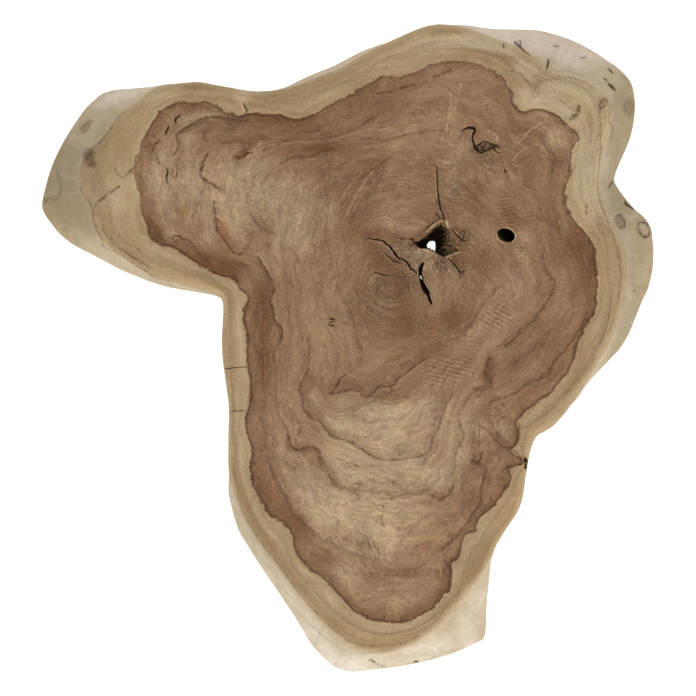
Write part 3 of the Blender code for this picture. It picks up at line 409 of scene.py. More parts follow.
# Soft patches of tone: x, y, radii along and across, turn in degrees, weight.
PALE = [
    (392, 473, 26, 6, 2, .5), (351, 500, 16, 6, 8, .45), (432, 287, 7, 12, 0, .35), (210, 237, 8, 9, 0, .5), (377, 93, 14, 5, -24, .4), (189, 189, 8, 9, 0, .3), (164, 141, 6, 9, 0, .35),
    (498, 428, 6, 8, 0, .7), (571, 112, 9, 9, 0, 1.1), (525, 93, 7, 9, 0, .5), (382, 431, 14, 8, 0, .3), (338, 380, 10, 9, 0, .3), (308, 190, 10, 16, 0, .4), (261, 271, 6, 16, 0, .6), (212, 212, 7, 12, 0, .4), (340, 547, 18, 5, 24, .5), (464, 453, 15, 8, 0, .45), (477, 478, 7, 8, 0, .2), (476, 404, 7, 8, 0, .35), (478, 381, 8, 8, 0, .35), (500, 353, 9, 8, 0, .3), (330, 380, 9, 6, 0, .2), (527, 140, 10, 9, 0, .5), (452, 164, 10, 6, 0, .25), (440, 382, 18, 7, -6, .35), (200, 117, 18, 5, -4, .4), (392, 477, 22, 6, 0, .25), (303, 573, 9, 9, 40, .5), (307, 550, 9, 7, 40, .4), (284, 222, 11, 18, 0, .3), (141, 141, 7, 10, 10, .4), (206, 117, 18, 6, -2, .35), (189, 141, 8, 9, 0, .35), (402, 66, 24, 6, -16, .4), (548, 67, 12, 7, 22, .4), (232, 93, 40, 5, 0, .3), (431, 47, 34, 7, -6, .4), (498, 46, 18, 6, 14, .6), (332, 598, 8, 6, 40, .45), (142, 182, 7, 20, 0, .35), (310, 402, 8, 9, 0, .4), (500, 66, 10, 5, 14, .4), (167, 236, 6, 5, 0, .4), (400, 547, 10, 8, 0, .3), (428, 452, 10, 6, 0, .3),
    (352, 405, 26, 10, 8, .8), (408, 408, 28, 12, -8, .5), (384, 456, 34, 9, 4, .32), (382, 562, 16, 11, 0, .34), (358, 548, 7, 6, 0, .3), (340, 456, 20, 9, 30, .65), (336, 474, 10, 8, 40, .4), (380, 546, 12, 12, 0, .6), (354, 520, 12, 12, 0, .35),
    (476, 427, 8, 8, 0, .6), (549, 141, 8, 12, 30, .8), (332, 212, 7, 14, 0, .75), (524, 236, 10, 10, 0, .45), (524, 69, 10, 7, 30, 1.0), (465, 41, 42, 6, 4, .8), (560, 73, 18, 5, 20, .6),
    (115, 176, 11, 24, 4, .8), (150, 95, 22, 6, -12, .7), (428, 404, 12, 6, 0, .3), (335, 69, 16, 5, -18, .5),
    (362, 508, 44, 22, 4, 1.2), (306, 484, 13, 32, -30, .66), (186, 180, 18, 36, 0, .55), (236, 185, 26, 34, 0, .35), (158, 168, 8, 16, 0, .5), (398, 430, 46, 18, -4, .76), (396, 474, 46, 12, 2, 1.2),
    (188, 205, 16, 32, 4, .35), (240, 203, 13, 38, 4, .65), (300, 240, 24, 30, 0, .62), (452, 152, 18, 14, 0, .45),
    (520, 300, 20, 18, 0, .35), (448, 296, 8, 26, 8, .45), (478, 330, 20, 12, -20, .25), (300, 330, 16, 34, 0, .34),
    (587, 165, 11, 38, 0, .9), (552, 103, 20, 8, 12, 1.3), (586, 90, 20, 10, 40, .5), (602, 130, 6, 30, 0, .5), (588, 200, 8, 26, -14, .45), (242, 97, 6, 6, 0, .9),
    (612, 300, 8, 50, 4, .15), (238, 330, 6, 40, 0, .4), (238, 430, 6, 50, 0, .4), (455, 440, 10, 40, 4, .42), (408, 528, 20, 12, 0, .25),
    (505, 396, 18, 10, 0, .25), (345, 430, 24, 8, 24, .8), (282, 460, 5, 30, -10, .35), (392, 595, 34, 12, 2, .55),
    (345, 572, 14, 10, 30, .8), (400, 200, 14, 26, 20, .45), (160, 172, 6, 12, 0, .5), (395, 128, 26, 10, -8, .2),
    (222, 175, 22, 20, 0, .05), (176, 128, 12, 16, 30, .2), (163, 205, 10, 22, -6, .5), (560, 90, 22, 6, 18, .9), (450, 200, 14, 14, 0, .35), (212, 132, 20, 6, 0, .2), (508, 431, 6, 9, 0, .4), (270, 175, 16, 14, 0, .4), (330, 95, 22, 5, -20, .6),
    (120, 200, 10, 18, 0, .4), (540, 180, 14, 18, 0, .3), (528, 262, 14, 20, 0, .3), (498, 112, 14, 14, 0, .4), (282, 192, 16, 16, 0, .45),
    (484, 440, 8, 14, 0, .2), (432, 318, 5, 26, 4, .6), (490, 500, 6, 10, 10, .3),
]
DARK = [
    (267, 117, 30, 5, 2, .75), (141, 192, 5, 16, -6, .45), (406, 523, 10, 9, 0, .3), (452, 474, 6, 8, 0, .3), (405, 309, 10, 9, 0, .4), (378, 261, 10, 8, 20, .4), (455, 238, 5, 8, 0, .45), (402, 213, 12, 8, 0, .35),
    (306, 524, 7, 15, -35, .45), (427, 598, 13, 5, -20, .4), (331, 309, 9, 10, 0, .3), (235, 237, 8, 7, 0, .3), (429, 311, 5, 14, 0, .25), (426, 166, 13, 9, 0, .55), (573, 238, 8, 12, 0, .35), (547, 333, 10, 12, 0, .3), (478, 213, 9, 10, 0, .4), (478, 282, 11, 10, 0, .3), (402, 237, 13, 6, 0, .4), (403, 357, 9, 8, 0, .3), (400, 285, 20, 14, 0, .9), (453, 248, 7, 17, 0, .7), (425, 234, 9, 5, -40, .9), (486, 262, 16, 10, 0, .35), (242, 153, 5, 3, -24, .8), (507, 212, 8, 10, 0, .4), (258, 304, 7, 16, 0, .4), (420, 240, 6, 5, -40, .3),
    (270, 171, 13, 9, 0, .35), (362, 306, 15, 18, 0, .42), (390, 261, 22, 9, 36, .55), (380, 236, 14, 8, 0, .4), (430, 549, 13, 9, 0, .4), (476, 188, 9, 7, 0, .6), (238, 262, 10, 5, 20, .6), (455, 186, 14, 9, 0, .3), (284, 356, 8, 20, 0, .3), (286, 284, 8, 12, 0, .35),
    (290, 130, 40, 8, 2, .60), (355, 104, 40, 6, -28, .50), (352, 196, 15, 36, 32, .60), (352, 262, 20, 30, 0, .35),
    (404, 322, 30, 14, 0, .45), (263, 345, 8, 52, -2, 1.0), (262, 462, 6, 44, -8, .36), (288, 510, 6, 24, -34, .8),
    (152, 142, 8, 26, 16, .45), (154, 229, 4.5, 14, -30, 1.1), (216, 267, 20, 7, 20, 1.6), (589, 285, 7, 56, 0, .75),
    (576, 246, 12, 24, -34, .70), (562, 352, 26, 9, -54, .45), (530, 392, 28, 7, -34, .60), (490, 360, 4, 7, 0, .6), (488, 377, 5, 9, 0, 1.0), (520, 360, 20, 6, -36, .5), (257, 480, 5, 34, -16, .45), (275, 512, 5, 14, -40, .5),
    (444, 588, 6, 24, 14, .70), (478, 520, 9, 22, 24, .60), (500, 484, 6, 22, 14, .50), (407, 323, 9, 6, 0, .3), (450, 320, 9, 10, 0, .3),
    (560, 160, 7, 13, 0, .50), (489, 160, 13, 6, 0, .55), (340, 142, 54, 6, -8, .35),
    (503, 92, 6, 20, -18, .25), (408, 86, 36, 5, -14, .1), (350, 608, 14, 6, 40, .5), (420, 612, 22, 5, -16, .5),
    (470, 250, 14, 20, 0, .35), (430, 340, 18, 16, 0, .40), (212, 124, 26, 6, 0, .12), (266, 280, 7, 22, -10, .25),
    (396, 573, 40, 5, -2, .45), (341, 386, 12, 8, -20, .30), (381, 391, 8, 6, -20, .6),
    (460, 310, 18, 18, -30, .45), (300, 150, 26, 5, -4, .35), (370, 165, 22, 8, -40, .30), (165, 240, 14, 4, 30, .4),
    (328, 474, 14, 6, 52, .5), (298, 447, 14, 4, 0, .5), (350, 488, 22, 5, 6, .3), (455, 300, 12, 20, 0, .3),
    (380, 345, 26, 22, 0, .28), (440, 250, 14, 12, 0, .3), (500, 250, 14, 30, 0, .25), (520, 215, 10, 24, 0, .2), (300, 172, 26, 8, -10, .25),
    (190, 243, 20, 5, 26, .3), (500, 350, 14, 14, 0, .2), (545, 330, 14, 20, 30, .3), (368, 222, 12, 20, 10, .3), (326, 150, 20, 6, -10, .4),
    (232, 142, 26, 5, 0, .5), (405, 252, 10, 6, 30, .3), (290, 488, 6, 16, -28, .5), (460, 455, 6, 16, 0, .25), (430, 352, 12, 6, -28, .5),
]
RED = [
    (184, 200, 10, 12, 0, .2), (262, 470, 8, 40, -8, .2), (520, 400, 30, 12, -34, .3),
    (242, 155, 8, 4, -24, 1.1), (505, 214, 12, 12, 0, .15), (223, 236, 4, 18, -14, .9), (262, 345, 9, 46, 0, .12),
    (287, 512, 8, 18, -34, .40), (545, 190, 32, 56, 0, .22), (430, 524, 34, 26, 0, .24), (182, 212, 8, 7, 0, .6),
    (516, 438, 3, 9, 0, .8), (238, 140, 18, 6, 0, .45), (560, 45, 60, 14, 12, .95), (158, 118, 6, 10, 0, .4),
    (436, 310, 4, 26, 8, .6), (270, 420, 5, 50, -4, .15), (420, 372, 26, 8, -30, .15), (404, 232, 30, 16, 0, .15), (476, 110, 26, 20, 0, .15),
]
GREY = [
    (455, 186, 15, 9, 0, .6), (330, 220, 20, 30, 0, .3),
    (424, 256, 16, 8, 22, .95), (462, 238, 9, 6, 0, .80), (380, 297, 32, 24, 0, .50), (397, 258, 20, 8, 36, .50),
    (452, 266, 12, 8, 20, .75), (252, 190, 24, 30, 0, .38), (428, 332, 16, 16, 0, .45),
    (489, 162, 11, 6, 0, .65), (232, 150, 18, 8, -20, .15), (408, 248, 8, 6, 0, .80), (290, 205, 26, 26, 0, .25),
    (68, 172, 18, 30, 20, .5), (80, 216, 18, 24, 0, .45), (425, 288, 14, 20, 0, .35), (340, 330, 20, 26, 0, .25), (108, 150, 18, 26, 20, .36), (104, 190, 12, 26, 0, .25),
]
OLIVE = [
    (135, 238, 9, 14, -20, .5), (160, 281, 20, 7, 18, .45),
    (325, 92, 50, 8, -20, .45), (200, 93, 40, 6, 0, .05), (430, 45, 40, 8, -14, .10), (575, 102, 14, 7, 20, .5),
    (108, 175, 18, 24, 0, .2), (245, 505, 4, 36, -12, .45), (285, 570, 7, 36, -42, .35), (390, 641, 56, 5, 0, .5),
    (616, 215, 5, 18, -20, .3), (606, 262, 7, 56, 0, .35), (572, 384, 4, 4, 0, 1.0), (620, 221, 3, 6, -20, .9), (576, 114, 6, 3, -50, .5),
    (629, 107, 4.4, 6.4, 0, 2.4), (603, 101, 4, 4.5, 0, 1.8), (230, 300, 6, 8, 0, .3), (118, 148, 22, 26, -20, .8),
    (478, 560, 7, 22, 30, .35), (505, 520, 7, 22, 30, .3), (150, 95, 12, 5, -20, .2), (265, 100, 30, 5, 0, .05),
    (407, 323, 11, 7, 0, .7), (451, 320, 9, 11, 0, .7), (464, 237, 9, 7, 0, .7), (500, 160, 18, 10, 0, .3),
]
STAIN = [
    (90, 160, 4.5, 9, -18, .85), (86, 155, 3, 5, 20, .5), (87, 124, 9, 4, -50, .45), (84, 129, 4, 7, 30, .4),
    (619.8, 221, 3.4, 6, -20, .72), (64, 163, 6, 6, 0, .25), (92, 152, 3, 3, 0, .4), (47, 201, 3, 5, 20, .5),
    (486, 148, 9, 4, -8, .35), (474, 136, 2.5, 6, 0, .4), (167, 174, 2.5, 7, 0, .4), (481, 560, 5, 9, 20, .25),
     (440, 265, 4.6, 6.4, -20, 1.2), (446, 262, 4, 3, 0, .7), (629, 107, 2.8, 4.4, 0, .45), (488, 378, 4, 9, 0, .4), (242, 152, 6, 2.4, -20, .7), (411, 246, 4.6, 4, 0, 1.1), (469, 129.4, 5, 1.8, 0, .9), (484.6, 147.6, 11, 4.4, -8, 1.0),
]
# How light the flank is where it shows, added to a middling flank: painted light towards the top and bottom of the
# plan, painted shade on its left and right sides.
FLANK_PAINTED_LIGHT = [
    (440, 650, 60, 22, -12, .35), (345, 665, 40, 12, 0, .62), (318, 638, 22, 8, 46, .42), (430, 645, 20, 7, -14, .3), (285, 600, 12, 50, -38, .45), (540, 42, 60, 12, 12, .8), (572, 66, 14, 6, 24, .25),
    (475, 610, 14, 28, 10, .45), (120, 262, 26, 6, 22, -.05), (176, 287, 40, 5, 14, -.05), (120, 95, 28, 7, -18, .8), (47, 210, 8, 12, 0, -.25),
    (60, 190, 22, 36, 16, -.36), (70, 163, 16, 14, 0, -.35), (84, 215, 14, 24, 0, -.35), (622, 130, 10, 40, 0, -.80), (620, 200, 14, 12, 0, -.30),
    (642, 250, 10, 40, 0, -.22), (622, 335, 10, 34, 24, -.42), (600, 70, 26, 10, 34, .15), (80, 135, 14, 18, 30, -.15),
    (100, 248, 26, 10, 30, 0), (67, 164, 8, 10, 10, -.6), (545, 430, 8, 14, -40, -.5), (523, 478, 6, 16, 0, -.5),
]
# Paler fibre on the walls of the holes.
WALL_LIGHT = [(451, 241, 5, 9, 0, 1.0), (424, 280, 8, 22, -14, -1.6), (446, 250, 7, 4, 0, .5), (444.6, 225, 2, 2.5, 0, .9), (421, 244, 3, 2.5, 0, .3), (500, 240, 5, 5, 0, 1.5)]
# Cutter ripples: x, y, radii along and across, turn of the patch, turn of the ripples, weight, spacing.
RIPPLE = [
    (498, 318, 15, 14, 0, 30, 1.1, 4.5), (448, 370, 24, 13, -8, 14, 1.2, 4.4), (490, 414, 13, 12, 0, 4, .7, 2.9),
    (556, 289, 9, 8, 0, 14, .8, 3.4), (506.5, 211, 8, 12, 0, -6, 2.0, 3.7), (453, 205, 10, 9, 0, 8, 1.2, 3.6),
    (474, 345, 13, 9, 0, 4, .7, 4.2), (536, 378, 12, 7, -30, 30, .4, 3.4), (505, 372, 12, 8, 0, 6, .35, 3.4),
]
CHATTER = [(244, 466), (247, 482), (249.5, 496), (252.5, 508), (256, 520), (261, 536)]

# Where dark brush-like strokes stand out of the pale wood: x, y, radii, turn, weight.
HATCH = [
    (342, 537, 28, 6, 22, .75), (374, 550, 9, 13, -10, .7), (330, 468, 9, 14, 42, .5), (348, 482, 18, 5, 8, .7), (398, 492, 40, 6, -4, .4), (392, 573, 36, 4, -2, .65), (395, 615, 46, 5, 0, .55), (384, 588, 22, 5, 0, .4), (442, 575, 6, 12, 0, .8), (456, 545, 8, 14, 34, .5),
    (436, 556, 8, 12, 0, .3), (240, 190, 26, 34, 0, .35), (592, 240, 8, 14, -30, .6), (436, 268, 18, 12, 0, .5),
    (372, 452, 26, 6, 20, .4), (464, 237, 9, 7, 0, .8), (356, 200, 12, 24, 36, .5), (486, 148, 10, 4, -8, .6),
]
# The rotted-out pith hole: its edge in the top face, x, y, then at its narrow throat half-way down, x, y.
PITH_HOLE = [
    (411.0, 239.4, 427.0, 245.0), (416.0, 241.8, 427.3, 244.2), (418.5, 241.2, 427.8, 243.4), (421.0, 238.8, 428.6, 242.4),
    (425.1, 236.4, 429.4, 241.7), (427.6, 233.9, 430.2, 241.3), (430.1, 231.4, 431.0, 241.1), (433.4, 228.1, 431.8, 241.0),
    (437.5, 224.8, 432.6, 241.0), (440.8, 223.1, 433.4, 241.1), (444.1, 222.0, 434.2, 241.2), (446.6, 224.8, 434.8, 241.5),
    (448.3, 228.1, 435.1, 242.2), (450.4, 230.6, 435.2, 243.2), (449.9, 233.9, 435.3, 244.3), (452.4, 235.5, 435.4, 245.3),
    (454.9, 238.8, 435.4, 246.4), (454.0, 243.0, 435.3, 247.6), (455.7, 247.1, 435.2, 248.8), (458.0, 251.4, 435.1, 250.0),
    (454.5, 252.6, 434.9, 251.2), (449.1, 254.5, 434.2, 252.0), (444.5, 257.0, 433.2, 252.2), (440.0, 255.4, 432.2, 251.6),
    (436.5, 252.7, 431.4, 251.0), (431.7, 250.4, 430.4, 250.0), (427.5, 248.6, 429.4, 249.0), (422.6, 248.8, 428.2, 248.2),
    (418.5, 247.6, 427.4, 247.4), (415.6, 244.2, 427.0, 246.2),
]
# The long check: its edge in the top face. Lower down it closes to a small lens about CHECK_LENS.
CHECK_MOUTH = [
    (422.6, 261.6), (424.6, 263.4), (423.5, 266.1), (422.3, 270.2), (422.3, 274.4), (423.6, 277.7), (423.7, 281.0),
    (426.0, 286.0), (429.0, 290.0), (430.6, 297.5), (432.6, 303.8), (430.6, 305.0), (428.4, 300.8), (426.8, 295.9),
    (423.5, 292.6), (421.0, 287.6), (419.3, 281.0), (419.0, 276.0), (418.2, 272.7), (418.5, 267.8), (420.2, 264.5),
]
CHECK_LENS = (421.9, 278.0, 1.0, 3.2)  # middle x, y and half width, half length


# ---------------------------------------------------------------------------------------------
# Curves, distances and noise
# ---------------------------------------------------------------------------------------------
def catmull(points, closed, sub=10):
    p = np.asarray(points, float)
    if closed:
        a, b, c, d = np.roll(p, 1, 0), p, np.roll(p, -1, 0), np.roll(p, -2, 0)
    else:
        q = np.vstack([2 * p[0] - p[1], p, 2 * p[-1] - p[-2]])
        a, b, c, d = q[:-3], q[1:-2], q[2:-1], q[3:]
    t = (np.arange(sub) / sub)[None, :, None]
    a, b, c, d = (v[:, None, :] for v in (a, b, c, d))
    out = 0.5 * (2 * b + (c - a) * t + (2 * a - 5 * b + 4 * c - d) * t ** 2 + (3 * b - a - 3 * c + d) * t ** 3)
    out = out.reshape(-1, p.shape[1])
    return out if closed else np.vstack([out, p[-1]])


def even(points, count=None, step=None, closed=True, sub=12, shape=2):
    """Points at equal steps along the smooth curve through some points; shape is how many columns measure length."""
    dense = catmull(points, closed, sub)
    if closed:
        dense = np.vstack([dense, dense[:1]])
    along = np.concatenate([[0], np.cumsum(np.linalg.norm(np.diff(dense[:, :shape], axis=0), axis=1))])
    if count is None:
        count = max(2, int(round(along[-1] / step)) + (0 if closed else 1))
    at = along[-1] * np.arange(count) / (count if closed else count - 1)
    return np.stack([np.interp(at, along, dense[:, k]) for k in range(dense.shape[1])], 1)


def course(q, line, reach, closed=False):
    """Distance, signed offset, place along and overshoot of points q from a polyline."""
    n = len(q)
    dist, off, at, over = np.full(n, 1e6), np.full(n, 1e6), np.zeros(n), np.zeros(n)
    ends = np.vstack([line, line[:1]]) if closed else line
    last = len(ends) - 2
    for i in range(len(ends) - 1):
        a, b = ends[i, :2], ends[i + 1, :2]
        lo, hi = np.minimum(a, b) - reach, np.maximum(a, b) + reach
        m = np.nonzero((q[:, 0] > lo[0]) & (q[:, 0] < hi[0]) & (q[:, 1] > lo[1]) & (q[:, 1] < hi[1]))[0]
        if not len(m):
            continue
        ab = b - a
        length = max(math.hypot(*ab), 1e-9)
        rel = q[m] - a
        t = rel @ ab / length ** 2
        tc = np.clip(t, 0, 1)
        d = np.hypot(rel[:, 0] - tc * ab[0], rel[:, 1] - tc * ab[1])
        s = np.sign(ab[0] * rel[:, 1] - ab[1] * rel[:, 0])
        o = np.zeros(len(m))
        if not closed and i == 0:
            o = np.maximum(o, -t * length)
        if not closed and i == last:
            o = np.maximum(o, (t - 1) * length)
        better = d < dist[m]
        k = m[better]
        dist[k], off[k], at[k], over[k] = d[better], (s * d)[better], (i + tc)[better], o[better]
    return dist, off, at, over


def inside(q, loop):
    hit = np.zeros(len(q), bool)
    x, y = q[:, 0], q[:, 1]
    for a, b in zip(loop, np.roll(loop, -1, 0)):
        if a[1] == b[1]:
            continue
        m = (a[1] > y) != (b[1] > y)
        if m.any():
            hit[m] ^= x[m] < (b[0] - a[0]) * (y[m] - a[1]) / (b[1] - a[1]) + a[0]
    return hit


def lump(p, seed=0):
    """Smooth random values from -1 to 1 over an (n, 3) array."""
    i = np.floor(p).astype(np.int64)
    f = p - i
    u = f * f * f * (f * (f * 6 - 15) + 10)

    def at(dx, dy, dz):
        n = ((i[:, 0] + dx) * 73856093) ^ ((i[:, 1] + dy) * 19349663) ^ ((i[:, 2] + dz) * 83492791) ^ (seed * 40503 + 7)
        n = ((n ^ (n >> 13)) * 1274126177) & 0x7FFFFFFF
        n = n ^ (n >> 15)
        return (n & 0xFFFF) / 32767.5 - 1

    def lerp(a, b, t):
        return a + (b - a) * t

    return lerp(
        lerp(lerp(at(0, 0, 0), at(1, 0, 0), u[:, 0]), lerp(at(0, 1, 0), at(1, 1, 0), u[:, 0]), u[:, 1]),
        lerp(lerp(at(0, 0, 1), at(1, 0, 1), u[:, 0]), lerp(at(0, 1, 1), at(1, 1, 1), u[:, 0]), u[:, 1]),
        u[:, 2])


def rough(p, octaves=3, seed=0):
    out, gain = np.zeros(len(p)), 1.0
    for k in range(octaves):
        out += gain * lump(p * 2.03 ** k, seed + k)
        gain *= 0.5
    return out


def step(lo, hi, x):
    t = np.clip((x - lo) / (hi - lo), 0, 1)
    return t * t * (3 - 2 * t)


def patches(q, rows):
    out = np.zeros(len(q))
    for x, y, rx, ry, turn, weight in rows:
        c, s = math.cos(math.radians(turn)), math.sin(math.radians(turn))
        dx, dy = q[:, 0] - x, q[:, 1] - y
        u, v = (dx * c + dy * s) / rx, (-dx * s + dy * c) / ry
        out += weight * np.exp(-0.5 * (u * u + v * v) ** 1.15)
    return out


# ---------------------------------------------------------------------------------------------
# The growth-ring field: 0 at the pith, 1 at the heartwood edge, RIM_RING at the arris, smooth between guides
# ---------------------------------------------------------------------------------------------
RIM_RING = 1.27
arris_loop = even(RIM, count=AROUND, shape=4)
ARRIS, FOOT = arris_loop[:, :2].copy(), arris_loop[:, 2:].copy()
HEART_LINE = even(HEART, step=2.5)


def ring_field(step_mm=2.0, size=352):
    pins = [(even(HEART, step=0.8), 1.0), (even(RIM, step=0.8)[:, :2], RIM_RING)]
    pins += [(even(line, step=0.8, closed=False), value) for value, line in GUIDES]
    a = np.linspace(0, 2 * math.pi, 160, endpoint=False)
    pins += [(np.stack([x + rx * np.cos(a), y + ry * np.sin(a)], 1), value) for x, y, rx, ry, value in SWIRL]
    field = None
    for level in (16, 8, 4, 2, 1):
        n = size // level
        fixed, total = np.zeros((n, n)), np.zeros((n, n))
        for line, value in pins:
            ij = np.clip((line / (step_mm * level)).astype(int), 0, n - 1)
            np.add.at(fixed, (ij[:, 1], ij[:, 0]), 1)
            np.add.at(total, (ij[:, 1], ij[:, 0]), value)
        held = fixed > 0
        value = np.where(held, total / np.maximum(fixed, 1), 0)
        if field is None:
            field = np.full((n, n), 0.8)
        else:
            field = np.repeat(np.repeat(field, 2, 0), 2, 1)
        for _ in range(160):
            p = np.pad(field, 1, mode="edge")
            soft = (p[:-2, 1:-1] + p[2:, 1:-1] + p[1:-1, :-2] + p[1:-1, 2:]) / 4
            field = np.where(held, value, field + 1.0 * (soft - field))
    for _ in range(6):
        p = np.pad(field, 1, mode="edge")
        field = (p[:-2, 1:-1] + p[2:, 1:-1] + p[1:-1, :-2] + p[1:-1, 2:] + 4 * field) / 8
    return field


RINGS = ring_field()


def rings_at(q, r=None):
    r = RINGS if r is None else r
    g = np.clip(q / 2.0 - 0.5, 0, RINGS.shape[0] - 1.001)
    i = g.astype(int)
    f = g - i
    return ((r[i[:, 1], i[:, 0]] * (1 - f[:, 0]) + r[i[:, 1], i[:, 0] + 1] * f[:, 0]) * (1 - f[:, 1])
            + (r[i[:, 1] + 1, i[:, 0]] * (1 - f[:, 0]) + r[i[:, 1] + 1, i[:, 0] + 1] * f[:, 0]) * f[:, 1])


def steepness():
    """How fast the ring field rises, per mm, smoothed."""
    gy, gx = np.gradient(RINGS)
    steep = np.hypot(gx, gy) / 2.0
    for _ in range(60):
        p = np.pad(steep, 1, mode="edge")
        steep = (p[:-2, 1:-1] + p[2:, 1:-1] + p[1:-1, :-2] + p[1:-1, 2:] + 2 * steep) / 6
    return steep


STEEP = steepness()


# ---------------------------------------------------------------------------------------------
# Geometry. Each point holds plan x, plan y and height z, all in millimetres
# ---------------------------------------------------------------------------------------------
def inset(loop, by):
    along = np.roll(loop, -1, 0) - np.roll(loop, 1, 0)
    along /= np.linalg.norm(along, axis=1)[:, None]
    return loop + np.stack([-along[:, 1], along[:, 0]], 1) * by


CRACK_LINES = []
for depth, pts in CRACKS:
    CRACK_LINES.append((depth, even(pts, step=1.7, closed=False)))
for k, (depth, pts) in enumerate(CRACK_LINES):  # a torn, wandering edge
    w = np.stack([pts[:, 0] * 0.45, pts[:, 1] * 0.45, np.full(len(pts), 3.0 * k)], 1)
    pts[:, :2] += 0.45 * np.stack([lump(w, 5), lump(w, 6)], 1)
    pts[:, 2] *= 1 + 0.35 * lump(w * 1.7, 8)

pith_pairs = even(PITH_HOLE, count=132, shape=2)
pith_mouth, pith_throat = pith_pairs[:, :2].copy(), pith_pairs[:, 2:].copy()
pith_mouth += 0.4 * np.stack([lump(np.c_[pith_mouth * 0.5, np.zeros(132)], 31), lump(np.c_[pith_mouth * 0.5, np.zeros(132)], 32)], 1)
pith_mouth += 0.32 * np.stack([lump(np.c_[pith_mouth * 0.9, np.zeros(132)], 35), lump(np.c_[pith_mouth * 0.9, np.zeros(132)], 36)], 1)
check_mouth = even(CHECK_MOUTH, count=84)
check_mouth += 0.3 * np.stack([lump(np.c_[check_mouth * 0.6, np.zeros(84)], 33), lump(np.c_[check_mouth * 0.6, np.zeros(84)], 34)], 1)
turn = np.linspace(0, 2 * math.pi, 56, endpoint=False)
tilt = math.radians(18)
borer_mouth = np.stack([
    506.0 + 9.3 * np.cos(turn) * math.cos(tilt) - 6.9 * np.sin(turn) * math.sin(tilt),
    235.3 + 9.3 * np.cos(turn) * math.sin(tilt) + 6.9 * np.sin(turn) * math.cos(tilt)], 1)
MOUTHS = [pith_mouth, check_mouth, borer_mouth]


def top_height(q):
    """Height of the top face over plan points q."""
    z = np.full(len(q), THICKNESS)
    rim = course(q, ARRIS, 24, closed=True)[0]
    a = np.clip(1 - rim / ROLL, 0, 1)
    z -= ROLL_DROP * (1 - np.cos(a * math.pi / 2))
    keep = step(0, 14, rim)
    p3 = np.c_[q, np.zeros(len(q))]
    z += keep * (0.22 * rough(p3 / 70, 2, 11) + 0.05 * lump(p3 / 9, 12) - 0.25)
    # slightly hollow between the late-wood lines
    ring = rings_at(q)
    z += keep * 0.05 * np.sin(ring * 75 + 2 * lump(p3 / 25, 13))
    for x, y, rx, ry, turn_, ripple_turn, weight, gap in RIPPLE:
        near = patches(q, [(x, y, rx, ry, turn_, 1.0)])
        c, s = math.cos(math.radians(ripple_turn)), math.sin(math.radians(ripple_turn))
        v = -(q[:, 0] - x) * s + (q[:, 1] - y) * c
        z += 0.11 * weight * near * np.sin(v * 2 * math.pi / gap)
    for mouth in MOUTHS:
        d = course(q, mouth, 12, closed=True)[0]
        z -= 0.8 * np.exp(-(d / 1.6) ** 2) * keep
    # the weathered hollow round the pith
    z -= 1.1 * patches(q, [(432, 250, 20, 16, 20, 1.0)]) + 0.5 * patches(q, [(395, 262, 24, 10, 36, 1.0)])
    z -= 0.8 * patches(q, [(488, 150, 12, 6, 0, 1.0)]) + 0.5 * patches(q, [(242, 158, 10, 6, -20, 1.0)])
    rag = rough(p3 / 1.9, 2, 21)
    for depth, pts in CRACK_LINES:
        d, off, at, over = course(q, pts, 6)
        w = np.interp(at, np.arange(len(pts)), pts[:, 2])
        full = np.clip(1 - d / np.maximum(w, 0.2), 0, 1)
        full = np.where(d < w, full, 0)
        cut = np.minimum(depth, 1.2 + w * 7) * np.minimum(1, full * 1.5)
        z -= cut * (1 + 0.25 * rag)
        z -= 0.25 * np.exp(-(np.maximum(d - w, 0) / 1.2) ** 2) * (over < 0.5) * (d < 6) * keep
    return z


